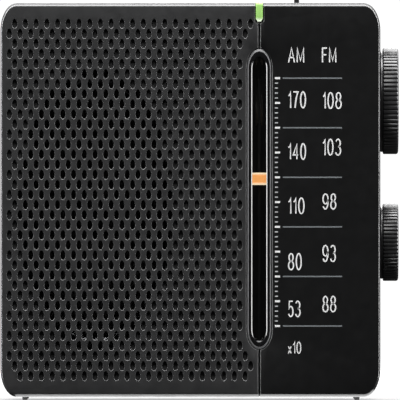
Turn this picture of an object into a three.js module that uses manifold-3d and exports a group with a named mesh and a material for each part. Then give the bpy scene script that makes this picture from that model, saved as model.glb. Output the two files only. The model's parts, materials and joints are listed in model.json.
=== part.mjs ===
// Tabletop radio: two-tone front, slide-rule dial, side knobs and a folding rod antenna.
// Millimetres. +X right, +Y to the back, +Z up. The origin is on the table, under the middle.
import * as THREE from "three";
import { mergeVertices } from "three/addons/utils/BufferGeometryUtils.js";
import Module from "manifold-3d";

const wasm = await Module();
wasm.setup();

// ---------------------------------------------------------------- driving dimensions
const GRILLE_WIDTH = 85.45; // left cover, from the case side to the seam
const DIAL_WIDTH = 39.95; // right cover, from the seam to the case side
const CASE_HEIGHT = 129.8;
const CASE_DEPTH = 52;
const CORNER_WIDTH = 5.4;
const CORNER_HEIGHT = 9.2;
const EDGE_ROUND = 1.2;
const WALL = 2;
const COVER_THICKNESS = 1.9;
const GAP = 0.3; // between parts that touch
const PLAY = 0.3; // radial, between parts that turn or slide
const PARTING = 8; // where the shells meet, behind the knob shafts in the plane y = 0
const LIP_LENGTH = 2.5;
const LIP_WALL = 1.2;
const LIP_ROOT = 0.9; // how far the lip runs back inside its own shell

const FOOT_HEIGHT = 1.2;
const FOOT_WIDTH = 1.85;
const FOOT_TAPER = 0.35;
const FOOT_LENGTH = 8;
const FOOT_STUD_RADIUS = 0.6;
const FOOT_STUD_LENGTH = 1.4;
const LEFT_FOOT_INSET = 8.05;
const RIGHT_FOOT_INSET = 7.7;
const FOOT_INSET_DEPTH = 8;

const KNOB_PROUD = 6.2;
const KNOB_COLLAR = 1.15;
const KNOB_COLLAR_STEP = 0.7;
const RIB_DEPTH = 0.5;
const KNOB_FACE = 1.8;
const TUNING_KNOB = { radius: 17.6, ribs: 72, rise: 97.6, shaftRadius: 2.5 };
const VOLUME_KNOB = { radius: 12.8, ribs: 60, rise: 50.75, shaftRadius: 2.5 };

const WINDOW_WIDTH = 5.15;
const WINDOW_LENGTH = 94.4;
const WINDOW_RISE = 17.9; // of its lower end over the case bottom
const WINDOW_END = 4.1; // height of the rounded end
const BEZEL_SIDE = 1.375; // bezel width beside the window
const BEZEL_ENDS = 2.3; // bezel height over and under the window
const LENS_THICKNESS = 1.2;

const POINTER_HEIGHT = 4.05;
const POINTER_THICKNESS = 1.2;
const POINTER_SIDE = 0.6; // hidden on each side of the window
const POINTER_REST = 53.9; // over the lower end of the window
const POINTER_STEM_WIDTH = 1.4;
const BACKING_THICKNESS = 0.6;
const BACKING_SLOT = 2.4;

const CORD = 0.8;
const DRUM_RADIUS = 8; // to the middle of the cord
const IDLER_RADIUS = 3.2; // to the middle of the cord
const PULLEY_WIDTH = 2.6;
const PULLEY_FLANGE = 0.9;
const IDLER_PIN_RADIUS = 1;
const IDLER_BEYOND_TOP = 0.5; // top idler centre over the window's top
const IDLER_BEYOND_BOTTOM = 2.1;
const CHASSIS_THICKNESS = 1.2;
const CHASSIS_OFFSET = 4.4; // chassis face to the left of the cord
const CHASSIS_ARM = 1.5;
const RAIL_RADIUS = 1;
const RAIL_OFFSET = 5.4; // right of the cord
const CARRIAGE_HEIGHT = 5;
const CARRIAGE_DEPTH = 4.4;

const GEAR_MODULE = 0.75;
const PINION_TEETH = 12;
const CAPACITOR_TEETH = 39;
const GEAR_WIDTH = 2;
const GEAR_SLACK = 0.15;
const TOOTH_SHARE = 0.36; // of the pitch, at the pitch circle
const GEAR_FROM_SIDE = 13.6;
const CAPACITOR_SIZE = { x: 12, y: 20, z: 20 };
const CAPACITOR_SHAFT_RADIUS = 1.5;

const VOLUME_CONTROL_RADIUS = 7;
const VOLUME_CONTROL_WIDTH = 7;
const VOLUME_CONTROL_FROM_SIDE = 5;

const SPEAKER_HALF_WIDTH = 25.4;
const SPEAKER_HALF_HEIGHT = 46.5;
const SPEAKER_RISE = 61.5;
const SPEAKER_FLANGE = 1.5;
const SPEAKER_INSET = 31.2; // its middle, in from the left side
const BASKET_DEPTH = 14;
const BASKET_WALL = 1;
const GASKET_THICKNESS = 0.8;
const CONE_WALL = 0.6;
const CONE_TRAVEL_ROOM = 1;
const MAGNET_RADIUS = 15;
const MAGNET_LENGTH = 9.5;

const HOLE_PITCH_X = 7.076;
const HOLE_PITCH_Z = 6.646;
const HOLE_HALF_WIDTH = 0.98;
const HOLE_HALF_HEIGHT = 1.7;
const HOLE_SIDES = 6;

const LIGHT_WIDTH = 2.3;
const LIGHT_DROP = 6.4; // down the front from the case top
const LIGHT_REACH = 9; // along the case top
const LIGHT_PROUD = 0.2;
const LAMP_RADIUS = 1.5;
const LAMP_LENGTH = 4;

const SWITCH_INSET = 27.4; // band switch ridge, in from the right side
const SWITCH_RIDGE = { x: 1.6, y: 8, z: 1.4 };
const SWITCH_STEM = 1;
const SWITCH_PLATE = 0.8;
const SWITCH_TRAVEL = 4;
const SWITCH_LIFT = 0.4; // ridge over the case top
const SWITCH_BODY = { x: 13, y: 4, z: 5 };

const SHELF_DEPTH = 10; // step along the rear top edge that holds the antenna
const SHELF_HEIGHT = 11;
const ANTENNA_INSET = 9.8;
const SWIVEL_RADIUS = 4;
const SWIVEL_THICKNESS = 3;
const FORK_LENGTH = 4.8;
const FORK_LUG = 1.5;
const TONGUE = 2.4;
const ANTENNA_PIN_RADIUS = 0.7;
const ANTENNA_RADII = [2.3, 1.8, 1.3, 0.8];
const TUBE_WALL = 0.3;
const ANTENNA_LENGTH = 100;
const ANTENNA_STEP = 2;
const ANTENNA_CAP = 3;

const CELL_RADIUS = 7.25;
const CELL_LENGTH = 50.5;
const CELL_SPACE = 0.7; // between the two cells
const CELL_ROOM = 3.6; // each end, for the contacts
const CELL_TIP_RADIUS = 2.6;
const CELL_TIP = 1;
const TRAY_WALL = 1.4;
const TRAY_INSET = 42; // middle of the tray, in from the left side
const DOOR_MARGIN = 2; // past the tray at each end
const DOOR_LEDGE = 2.85; // past the tray, over and under
const DOOR_RISE = 8.3;
const DOOR_PIN_RADIUS = 0.5;
const DOOR_PIN_LENGTH = 1.4;
const CONTACT_THICKNESS = 0.4;
const SPRING_RADIUS = 3;
const SPRING_WIRE = 0.4;
const SPRING_TURNS = 2;

const SCREW_HEAD_RADIUS = 2.6;
const SCREW_HEAD = 2;
const SCREW_RADIUS = 1.2;
const SCREW_LENGTH = 22;
const SCREW_SINK = 4;
const BOSS_WALL = 1.6;
const SCREW_INSET = 6.3;
const SCREW_LOW = 7.8;
const SCREW_HIGH = 108.8;

const BOARD_THICKNESS = 1.6;
const BOARD_FROM_BACK = 7.4;
const FERRITE_RADIUS = 4;
const FERRITE_LENGTH = 62;
const FERRITE_DROP = 9; // its middle, under the case top
const FERRITE_FROM_FRONT = 21;
const FERRITE_FROM_CHASSIS = 3;
const COIL_WALL = 1;
const COIL_LENGTH = 18;
const JACK_RADIUS = 2.9;
const JACK_BORE = 1.8;
const JACK_RISE = 98.8;

// ---------------------------------------------------------------- places worked out from them
const LEFT = -(GRILLE_WIDTH + DIAL_WIDTH + KNOB_PROUD) / 2;
const SEAM = LEFT + GRILLE_WIDTH;
const RIGHT = SEAM + DIAL_WIDTH;
const KNOB_FACE_X = RIGHT + KNOB_PROUD;
const BOTTOM = FOOT_HEIGHT;
const TOP = BOTTOM + CASE_HEIGHT;
const FRONT = -CASE_DEPTH / 2;
const BACK = CASE_DEPTH / 2;
const BEYOND = 20; // how far a cutting block runs past what it cuts

const COVER_BACK = FRONT + COVER_THICKNESS;
const PLATE_FRONT = COVER_BACK + GAP;
const PLATE_BACK = PLATE_FRONT + WALL;

const WINDOW_LOW = BOTTOM + WINDOW_RISE;
const WINDOW_HIGH = WINDOW_LOW + WINDOW_LENGTH;
const POINTER_Z = WINDOW_LOW + POINTER_REST;
const POINTER_FRONT = PLATE_BACK + GAP;
const POINTER_BACK = POINTER_FRONT + POINTER_THICKNESS;
const BACKING_FRONT = POINTER_BACK + GAP + POINTER_THICKNESS / 2;
const BACKING_BACK = BACKING_FRONT + BACKING_THICKNESS;
const CARRIAGE_FRONT = BACKING_BACK + 2 * GAP;
const CORD_Y = CARRIAGE_FRONT + CARRIAGE_DEPTH / 2;
const IDLER_Y = CORD_Y + IDLER_RADIUS;
const IDLER_TOP_Z = WINDOW_HIGH + IDLER_BEYOND_TOP;
const IDLER_LOW_Z = WINDOW_LOW - IDLER_BEYOND_BOTTOM;
const CHASSIS_RIGHT = SEAM - CHASSIS_OFFSET + CHASSIS_THICKNESS;
const CHASSIS_LEFT = SEAM - CHASSIS_OFFSET;
const RAIL_X = SEAM + RAIL_OFFSET;

const TUNING_Z = BOTTOM + TUNING_KNOB.rise;
const VOLUME_Z = BOTTOM + VOLUME_KNOB.rise;
const GEAR_DISTANCE = (GEAR_MODULE * (PINION_TEETH + CAPACITOR_TEETH)) / 2 + GEAR_SLACK;
const CAPACITOR_Z = TUNING_Z - GEAR_DISTANCE;
const GEAR_X = RIGHT - GEAR_FROM_SIDE - GEAR_WIDTH;

const SPEAKER_X = LEFT + SPEAKER_INSET;
const SPEAKER_Z = BOTTOM + SPEAKER_RISE;
const FLANGE_FRONT = PLATE_BACK + GASKET_THICKNESS + 2 * GAP;
const BASKET_BACK = FLANGE_FRONT + BASKET_DEPTH;

const SHELF_Y = BACK - SHELF_DEPTH;
const SHELF_Z = TOP - SHELF_HEIGHT;
const ANTENNA_X = LEFT + ANTENNA_INSET;
const ANTENNA_Z = SHELF_Z + SHELF_HEIGHT / 2;
const SWIVEL_BACK = SHELF_Y + GAP + SWIVEL_THICKNESS;
const ANTENNA_Y = SWIVEL_BACK + GAP + TONGUE - GAP / 2;

const TRAY_X = LEFT + TRAY_INSET;
const TRAY_HALF = CELL_LENGTH / 2 + CELL_ROOM;
const CELL_PITCH = 2 * CELL_RADIUS + CELL_SPACE;
const TRAY_HALF_HEIGHT = CELL_PITCH / 2 + CELL_RADIUS + GAP;
const DOOR_HEIGHT = 2 * (TRAY_HALF_HEIGHT + DOOR_LEDGE);
const DOOR_LOW = BOTTOM + DOOR_RISE;
const DOOR_HIGH = DOOR_LOW + DOOR_HEIGHT;
const TRAY_Z = (DOOR_LOW + DOOR_HIGH) / 2;
const DOOR_HALF = TRAY_HALF + DOOR_MARGIN;
const DOOR_PIVOT_Y = BACK - WALL / 2;
const DOOR_PIVOT_Z = DOOR_LOW + WALL / 2;
const CELL_Y = BACK - WALL - 3 * GAP - CELL_RADIUS;
const TRAY_FLOOR = CELL_Y - CELL_RADIUS - GAP;

const SWITCH_X = RIGHT - SWITCH_INSET;
const SWITCH_Y = SHELF_Y - WALL - GAP - SWITCH_RIDGE.y / 4;
const SCREW_HEAD_BACK = BACK - SCREW_SINK;
const FRONT_BOSS_RADIUS = SCREW_RADIUS + GAP + BOSS_WALL;
const REAR_BOSS_RADIUS = SCREW_HEAD_RADIUS + GAP + BOSS_WALL / 2;
const SCREW_X = [LEFT + SCREW_INSET, RIGHT - SCREW_INSET];
const SCREW_Z = [BOTTOM + SCREW_LOW, BOTTOM + SCREW_HIGH];
const FOOT_X = [LEFT + LEFT_FOOT_INSET, RIGHT - RIGHT_FOOT_INSET];
const FOOT_Y = [FRONT + FOOT_INSET_DEPTH, BACK - FOOT_INSET_DEPTH];
const BOARD_BACK = BACK - BOARD_FROM_BACK;
const BOARD_FRONT = BOARD_BACK - BOARD_THICKNESS;
const FERRITE_Z = TOP - FERRITE_DROP;
const JACK_Z = BOTTOM + JACK_RISE;

// ---------------------------------------------------------------- geometry helpers
const WELD = 1e-4;
const ROUND_SIDES = 12;
const LATHE_SIDES = 28;
const CORNER_STEPS = 5;
const PILL_STEPS = 8;
const BEVEL_STEPS = 1;
const WIRE_SIDES = 5;
const STEPS_PER_TURN = 9;

const [AXIS_X, AXIS_Y, AXIS_Z] = [0, 1, 2].map((i) => new THREE.Vector3().setComponent(i, 1));
// Where a flat outline's own right, up and depth directions go for each way of extruding it.
const ALONG = {
  x: new THREE.Matrix4().makeBasis(AXIS_Y, AXIS_Z, AXIS_X),
  y: new THREE.Matrix4().makeBasis(AXIS_X, AXIS_Z, AXIS_Y.clone().negate()),
  z: new THREE.Matrix4(),
};

function arc(u, v, ru, rv, start, end, steps) {
  return Array.from({ length: steps + 1 }, (_, i) => {
    const angle = start + ((end - start) * i) / steps;
    return new THREE.Vector2(u + ru * Math.cos(angle), v + rv * Math.sin(angle));
  });
}

function ellipse(u, v, ru, rv = ru, sides = ROUND_SIDES) {
  return arc(u, v, ru, rv, 0, 2 * Math.PI, sides).slice(0, -1);
}

function roundedRectangle(u0, u1, v0, v1, ru, rv) {
  const quarter = Math.PI / 2;
  return [
    ...arc(u1 - ru, v0 + rv, ru, rv, -quarter, 0, CORNER_STEPS),
    ...arc(u1 - ru, v1 - rv, ru, rv, 0, quarter, CORNER_STEPS),
    ...arc(u0 + ru, v1 - rv, ru, rv, quarter, 2 * quarter, CORNER_STEPS),
    ...arc(u0 + ru, v0 + rv, ru, rv, 2 * quarter, 3 * quarter, CORNER_STEPS),
  ];
}

function pill(u, width, v0, v1, end) {
  return [
    ...arc(u, v1 - end, width / 2, end, 0, Math.PI, PILL_STEPS),
    ...arc(u, v0 + end, width / 2, end, Math.PI, 2 * Math.PI, PILL_STEPS),
  ];
}

function extrude(outline, axis, from, to, { bevel = 0, holes = [] } = {}) {
  const shape = new THREE.Shape(outline);
  shape.holes = holes.map((points) => new THREE.Path(points));
  const geometry = new THREE.ExtrudeGeometry(shape, {
    depth: to - from - 2 * bevel,
    bevelEnabled: bevel > 0,
    bevelThickness: bevel,
    bevelSize: bevel,
    bevelOffset: -bevel,
    bevelSegments: BEVEL_STEPS,
  });
  geometry.translate(0, 0, bevel + (axis === "y" ? -to : from));
  return geometry.applyMatrix4(ALONG[axis]);
}

function box(x0, x1, y0, y1, z0, z1) {
  const geometry = new THREE.BoxGeometry(x1 - x0, y1 - y0, z1 - z0);
  return geometry.translate((x0 + x1) / 2, (y0 + y1) / 2, (z0 + z1) / 2);
}

function rod(axis, radius, from, to, u = 0, v = 0, sides = ROUND_SIDES) {
  return extrude(ellipse(u, v, radius, radius, sides), axis, from, to);
}

// A turned piece about the Y axis, from [radius, height] points.
function turned(points, sides = LATHE_SIDES) {
  const profile = points.map(([radius, height]) => new THREE.Vector2(radius, height));
  return new THREE.LatheGeometry(profile, sides);
}

// The same about the X axis, with heights measured along X.
function turnedAlongX(points, sides = ROUND_SIDES) {
  return turned(points, sides).rotateZ(-Math.PI / 2);
}

function solidOf(geometry) {
  const bare = geometry.index ? geometry.toNonIndexed() : geometry.clone();
  bare.deleteAttribute("normal");
  bare.deleteAttribute("uv");
  const welded = mergeVertices(bare, WELD);
  const vertProperties = welded.attributes.position.array;
  const triVerts = new Uint32Array(welded.index.array);
  return new wasm.Manifold(new wasm.Mesh({ numProp: 3, vertProperties, triVerts }));
}

function geometryOf(solid) {
  const { vertProperties, triVerts } = solid.getMesh();
  const geometry = new THREE.BufferGeometry();
  geometry.setAttribute("position", new THREE.BufferAttribute(vertProperties, 3));
  return geometry.setIndex(new THREE.BufferAttribute(triVerts, 1));
}

function join(...pieces) {
  return geometryOf(pieces.map(solidOf).reduce((whole, piece) => whole.add(piece)));
}

function cut(piece, ...tools) {
  return geometryOf(tools.map(solidOf).reduce((left, tool) => left.subtract(tool), solidOf(piece)));
}

function common(a, b) {
  return geometryOf(solidOf(a).intersect(solidOf(b)));
}

// ---------------------------------------------------------------- scene helpers
const radio = new THREE.Group();

function material(color, roughness, metalness = 0) {
  return new THREE.MeshStandardMaterial({ color, roughness, metalness });
}

const MATERIALS = {
  grille: material(0x2d2d2e, 0.62),
  dial: material(0x191a1b, 0.35),
  shell: material(0x1b1b1c, 0.5),
  bezel: material(0x151516, 0.25),
  lens: material(0x0e0f10, 0.08),
  knob: material(0x161617, 0.4),
  rubber: material(0x101010, 0.9),
  pointer: material(0xf0a45c, 0.45),
  light: material(0x9bd26e, 0.3),
  steel: material(0xb4b7ba, 0.3, 1),
  brass: material(0xc8a25a, 0.35, 1),
  white: material(0xd9d6cd, 0.6),
  cord: material(0x8a8474, 0.8),
  cone: material(0x1e1c1a, 0.9),
  board: material(0x1f5a34, 0.55),
  ferrite: material(0x3a3836, 0.8),
  copper: material(0xb5703c, 0.4, 1),
  cell: material(0x2c4a6e, 0.4),
};

function add(name, geometry, finish, parent = radio) {
  const mesh = new THREE.Mesh(geometry, MATERIALS[finish]);
  mesh.name = name;
  parent.add(mesh);
  return mesh;
}

function groupAt(x, y, z, parent = radio) {
  const group = new THREE.Group();
  group.position.set(x, y, z);
  parent.add(group);
  return group;
}

// ---------------------------------------------------------------- case
function caseOutline(inset = 0) {
  return roundedRectangle(
    LEFT + inset,
    RIGHT - inset,
    BOTTOM + inset,
    TOP - inset,
    Math.max(CORNER_WIDTH - inset, WALL),
    Math.max(CORNER_HEIGHT - inset, WALL),
  );
}

const windowOutline = () =>
  pill(SEAM, WINDOW_WIDTH, WINDOW_LOW, WINDOW_HIGH, WINDOW_END);

function bezelOutline(grow = 0) {
  return pill(
    SEAM,
    WINDOW_WIDTH + 2 * (BEZEL_SIDE + grow),
    WINDOW_LOW - BEZEL_ENDS - grow,
    WINDOW_HIGH + BEZEL_ENDS + grow,
    WINDOW_END + BEZEL_ENDS + grow,
  );
}

const caseBlock = extrude(caseOutline(), "y", FRONT, BACK, { bevel: EDGE_ROUND });

// The light bar's front leg: straight sides and a round lower end.
function lightOutline(grow, top) {
  const half = LIGHT_WIDTH / 2 + grow;
  const low = TOP - LIGHT_DROP - grow;
  return [
    new THREE.Vector2(SEAM + half, top),
    ...arc(SEAM, low + half, half, half, 0, -Math.PI, PILL_STEPS),
    new THREE.Vector2(SEAM - half, top),
  ].reverse();
}

function inSpeaker(x, z, margin) {
  const u = (x - SPEAKER_X) / (SPEAKER_HALF_WIDTH - margin);
  const v = (z - SPEAKER_Z) / (SPEAKER_HALF_HEIGHT - margin);
  return u * u + v * v < 1;
}

// Sound holes in staggered rows over the loudspeaker.
function soundHoles() {
  const holes = [];
  const rows = Math.ceil(SPEAKER_HALF_HEIGHT / HOLE_PITCH_Z);
  const columns = Math.ceil(SPEAKER_HALF_WIDTH / HOLE_PITCH_X) + 1;
  for (let row = -rows; row <= rows; row += 1) {
    const shift = row % 2 === 0 ? 0 : HOLE_PITCH_X / 2;
    for (let column = -columns; column <= columns; column += 1) {
      const x = SPEAKER_X + column * HOLE_PITCH_X + shift;
      const z = SPEAKER_Z + row * HOLE_PITCH_Z;
      if (inSpeaker(x, z, HOLE_HALF_HEIGHT)) {
        holes.push(ellipse(x, z, HOLE_HALF_WIDTH, HOLE_HALF_HEIGHT, HOLE_SIDES));
      }
    }
  }
  return holes;
}

function cover(x0, x1) {
  const slab = box(x0, x1, FRONT - BEYOND, COVER_BACK, BOTTOM - BEYOND, TOP + BEYOND);
  return cut(
    common(caseBlock, slab),
    extrude(bezelOutline(GAP), "y", FRONT - BEYOND, BACK),
    extrude(lightOutline(GAP, TOP + BEYOND), "y", FRONT - BEYOND, BACK),
  );
}

function grilleCover() {
  const blank = cover(LEFT - BEYOND, SEAM - GAP / 2);
  const pierced = soundHoles().map((hole) => extrude(hole, "y", FRONT - 1, COVER_BACK + 1));
  return cut(blank, ...pierced);
}

function screwHoles(radius, y0, y1) {
  return SCREW_X.flatMap((x) => SCREW_Z.map((z) => rod("y", radius, y0, y1, x, z)));
}

function footHoles(y) {
  return FOOT_X.map((x) =>
    rod("z", FOOT_STUD_RADIUS + GAP, BOTTOM - BEYOND, BOTTOM + WALL + 1, x, y));
}

function frontShell() {
  const lightSlot = LIGHT_WIDTH / 2 + GAP;
  const hollow = extrude(caseOutline(WALL), "y", PLATE_BACK, BACK);
  const tub = cut(extrude(caseOutline(), "y", PLATE_FRONT, PARTING), hollow);
  const shellWithBosses = join(
    tub,
    ...screwHoles(FRONT_BOSS_RADIUS, PLATE_BACK - WALL / 2, PARTING),
  );
  return cut(
    shellWithBosses,
    ...screwHoles(SCREW_RADIUS + GAP, PARTING - SCREW_LENGTH, PARTING + 1),
    extrude(ellipse(SPEAKER_X, SPEAKER_Z, SPEAKER_HALF_WIDTH, SPEAKER_HALF_HEIGHT, LATHE_SIDES),
      "y", FRONT, PLATE_BACK + 1),
    extrude(bezelOutline(), "y", FRONT, PLATE_BACK + 1),
    box(SEAM - lightSlot, SEAM + lightSlot, FRONT, FRONT + LIGHT_REACH + GAP,
      TOP - WALL - GAP, TOP + BEYOND),
    rod("x", TUNING_KNOB.shaftRadius + PLAY, RIGHT - WALL - 1, RIGHT + 1, 0, TUNING_Z),
    rod("x", VOLUME_KNOB.shaftRadius + PLAY, RIGHT - WALL - 1, RIGHT + 1, 0, VOLUME_Z),
    rod("x", JACK_RADIUS + GAP, LEFT - 1, LEFT + WALL + 1, 0, JACK_Z),
    switchSlot(),
    ...footHoles(FOOT_Y[0]),
  );
}

function switchSlot() {
  const half = SWITCH_STEM / 2 + GAP;
  return box(SWITCH_X - half, SWITCH_X + SWITCH_TRAVEL + half,
    SWITCH_Y - SWITCH_STEM - GAP, SWITCH_Y + SWITCH_STEM + GAP, TOP - WALL - 1, TOP + 1);
}

// Under the top wall the lip stops short of the band switch.
function switchRoom() {
  const middle = SWITCH_X + SWITCH_TRAVEL / 2;
  const half = SWITCH_BODY.x / 2 + GAP;
  return box(middle - half, middle + half, PARTING - LIP_LENGTH - 1, SHELF_Y - WALL,
    TOP - 2 * WALL - SWITCH_BODY.z, TOP - WALL);
}

function doorRecess() {
  return box(TRAY_X - DOOR_HALF - GAP, TRAY_X + DOOR_HALF + GAP,
    BACK - WALL - WALL / 4, BACK + 1, DOOR_LOW - 2 * GAP, DOOR_HIGH + GAP);
}

function rearShell() {
  const behind = box(LEFT - 1, RIGHT + 1, PARTING + GAP, BACK + 1, BOTTOM - 1, TOP + 1);
  const outer = common(caseBlock, behind);
  const hollow = extrude(caseOutline(WALL), "y", PARTING - BEYOND, BACK - WALL);
  const shelfBlock = box(LEFT - 1, RIGHT + 1, SHELF_Y - WALL, BACK + 1, SHELF_Z - WALL, TOP + 1);
  const shelf = box(LEFT - 1, RIGHT + 1, SHELF_Y, BACK + 1, SHELF_Z, TOP + 1);
  const trayReach = DOOR_HALF + GAP + TRAY_WALL;
  const trayBlock = box(TRAY_X - trayReach, TRAY_X + trayReach, TRAY_FLOOR - TRAY_WALL, BACK - WALL,
    DOOR_LOW - 2 * GAP - TRAY_WALL, DOOR_HIGH + GAP + TRAY_WALL);
  const trayRoom = box(TRAY_X - TRAY_HALF, TRAY_X + TRAY_HALF, TRAY_FLOOR, BACK,
    TRAY_Z - TRAY_HALF_HEIGHT, TRAY_Z + TRAY_HALF_HEIGHT);
  const lipHole = () => caseOutline(WALL + GAP + LIP_WALL).reverse();
  const lipBack = PARTING + GAP + LIP_ROOT;
  const lip = extrude(caseOutline(WALL + GAP), "y", PARTING - LIP_LENGTH, lipBack, {
    holes: [lipHole()],
  });
  const lipRoot = extrude(caseOutline(WALL / 2), "y", PARTING + GAP, lipBack, {
    holes: [lipHole()],
  });
  const body = join(
    cut(outer, hollow),
    common(outer, shelfBlock),
    trayBlock,
    lip,
    lipRoot,
    ...screwHoles(REAR_BOSS_RADIUS, PARTING + GAP, BACK - WALL / 2),
  );
  const pinReach = DOOR_HALF + DOOR_PIN_LENGTH + 2 * GAP;
  return cut(
    body,
    shelf,
    trayRoom,
    doorRecess(),
    rod("x", DOOR_PIN_RADIUS + PLAY, TRAY_X - pinReach, TRAY_X + pinReach, DOOR_PIVOT_Y, DOOR_PIVOT_Z),
    ...screwHoles(SCREW_RADIUS + GAP, PARTING - 1, BACK + 1),
    ...screwHoles(SCREW_HEAD_RADIUS + GAP, SCREW_HEAD_BACK - SCREW_HEAD - GAP, BACK + 1),
    switchSlot(),
    switchRoom(),
    ...screwHoles(FRONT_BOSS_RADIUS + GAP, PARTING - LIP_LENGTH - 1, PARTING + GAP),
    ...footHoles(FOOT_Y[1]),
  );
}

function addCase() {
  add("grille_cover", grilleCover(), "grille");
  add("dial_cover", cover(SEAM + GAP / 2, RIGHT + BEYOND), "dial");
  add("front_shell", frontShell(), "shell");
  add("rear_shell", rearShell(), "shell");
  add("window_bezel",
    extrude(bezelOutline(), "y", FRONT, COVER_BACK, { holes: [windowOutline().reverse()] }), "bezel");
  const lensFront = PLATE_FRONT + GAP;
  add("window_lens", extrude(bezelOutline(-GAP), "y", lensFront, lensFront + LENS_THICKNESS), "lens");
}

function addScrews() {
  const shank = rod("y", SCREW_RADIUS, -SCREW_LENGTH, -SCREW_HEAD / 2);
  const slot = { half: SCREW_HEAD_RADIUS * 0.7, width: 0.4, depth: 0.8 };
  const head = cut(
    rod("y", SCREW_HEAD_RADIUS, -SCREW_HEAD, 0),
    box(-slot.half, slot.half, -slot.depth, 1, -slot.width, slot.width),
    box(-slot.width, slot.width, -slot.depth, 1, -slot.half, slot.half),
  );
  const screw = join(shank, head);
  SCREW_X.forEach((x, i) => SCREW_Z.forEach((z, j) => {
    add(`case_screw_${2 * i + j + 1}`, screw, "steel", groupAt(x, SCREW_HEAD_BACK, z));
  }));
}

function addFeet() {
  const top = FOOT_WIDTH / 2;
  const low = top - FOOT_TAPER / 2;
  const seat = BOTTOM - GAP / 6;
  const rib = extrude(
    [[-low, 0], [low, 0], [top, seat], [-top, seat]].map(([x, z]) => new THREE.Vector2(x, z)),
    "y", -FOOT_LENGTH / 2, FOOT_LENGTH / 2);
  const stud = rod("z", FOOT_STUD_RADIUS, seat / 2, BOTTOM + FOOT_STUD_LENGTH);
  const foot = join(rib, stud);
  FOOT_X.forEach((x, i) => FOOT_Y.forEach((y, j) => {
    add(`foot_${2 * i + j + 1}`, foot, "rubber", groupAt(x, y, 0));
  }));
}

// ---------------------------------------------------------------- knobs and controls
function ribbedOutline(radius, ribs) {
  return Array.from({ length: 2 * ribs }, (_, i) => {
    const angle = (Math.PI * i) / ribs;
    const reach = i % 2 ? radius - RIB_DEPTH : radius;
    return new THREE.Vector2(reach * Math.cos(angle), reach * Math.sin(angle));
  });
}

function knob({ radius, ribs, shaftRadius }) {
  const start = RIGHT + GAP;
  const collarEnd = RIGHT + KNOB_COLLAR;
  return cut(
    join(
      rod("x", radius - KNOB_COLLAR_STEP, start, collarEnd + WALL / 2, 0, 0, LATHE_SIDES),
      extrude(ribbedOutline(radius, ribs), "x", collarEnd, KNOB_FACE_X),
    ),
    rod("x", shaftRadius + GAP, start - 1, KNOB_FACE_X - KNOB_FACE),
  );
}

function gearOutline(teeth, phase) {
  const pitch = (2 * Math.PI) / teeth;
  const pitchRadius = (GEAR_MODULE * teeth) / 2;
  const tip = pitchRadius + GEAR_MODULE;
  const root = pitchRadius - 1.25 * GEAR_MODULE;
  const corners = [[root, -0.8], [tip, -0.35], [tip, 0.35], [root, 0.8]];
  return Array.from({ length: teeth }, (_, tooth) => corners.map(([radius, side]) => {
    const angle = phase + tooth * pitch + side * TOOTH_SHARE * pitch;
    return new THREE.Vector2(radius * Math.cos(angle), radius * Math.sin(angle));
  })).flat();
}

// A grooved wheel for the cord, about X, centred on the cord.
function pulley(cordRadius, bore) {
  const half = PULLEY_WIDTH / 2;
  const groove = cordRadius - CORD / 2 - GAP;
  const rim = groove + PULLEY_FLANGE;
  const grooveHalf = CORD / 2 + GAP;
  const profile = [
    [bore, -half], [rim, -half], [rim, -grooveHalf], [groove, -grooveHalf],
    [groove, grooveHalf], [rim, grooveHalf], [rim, half], [bore, half], [bore, -half],
  ];
  return turnedAlongX(profile, cordRadius > DRUM_RADIUS / 2 ? LATHE_SIDES : ROUND_SIDES);
}

function addTuning() {
  const group = groupAt(0, 0, TUNING_Z);
  const { shaftRadius } = TUNING_KNOB;
  const bore = shaftRadius + GAP;
  add("tuning_knob", knob(TUNING_KNOB), "knob", group);
  add("tuning_shaft",
    rod("x", shaftRadius, CHASSIS_LEFT - GAP, KNOB_FACE_X - KNOB_FACE - GAP), "steel", group);
  const pinion = extrude(gearOutline(PINION_TEETH, -Math.PI / 2), "x",
    GEAR_X - GAP, GEAR_X + GEAR_WIDTH + GAP, { holes: [ellipse(0, 0, bore).reverse()] });
  add("tuning_pinion", pinion, "brass", group);
  add("cord_drum", pulley(DRUM_RADIUS, bore), "white", groupAt(SEAM, 0, 0, group));
}

function addCapacitor() {
  const group = groupAt(0, 0, CAPACITOR_Z);
  const bore = CAPACITOR_SHAFT_RADIUS + GAP;
  const phase = Math.PI / 2 + Math.PI / CAPACITOR_TEETH;
  const gear = extrude(gearOutline(CAPACITOR_TEETH, phase), "x", GEAR_X, GEAR_X + GEAR_WIDTH, {
    holes: [ellipse(0, 0, bore).reverse()],
  });
  add("capacitor_gear", gear, "white", group);
  const bodyRight = GEAR_X - 3 * GAP;
  const { x, y, z } = CAPACITOR_SIZE;
  add("capacitor_shaft",
    rod("x", CAPACITOR_SHAFT_RADIUS, bodyRight - x / 3, GEAR_X + GEAR_WIDTH + 1), "brass", group);
  add("tuning_capacitor", cut(
    box(bodyRight - x, bodyRight, -y / 2, y / 2, -z / 2, z / 2),
    rod("x", bore, bodyRight - x / 3 - GAP, bodyRight + 1),
  ), "white", group);
}

function addVolume() {
  const group = groupAt(0, 0, VOLUME_Z);
  const { shaftRadius } = VOLUME_KNOB;
  const right = RIGHT - VOLUME_CONTROL_FROM_SIDE;
  const left = right - VOLUME_CONTROL_WIDTH;
  add("volume_knob", knob(VOLUME_KNOB), "knob", group);
  add("volume_shaft", rod("x", shaftRadius, left + 2, KNOB_FACE_X - KNOB_FACE - GAP), "steel", group);
  add("volume_control", cut(
    rod("x", VOLUME_CONTROL_RADIUS, left, right, 0, 0, LATHE_SIDES),
    rod("x", shaftRadius + GAP, left + 2 - GAP, right + 1),
  ), "steel", group);
}

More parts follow.
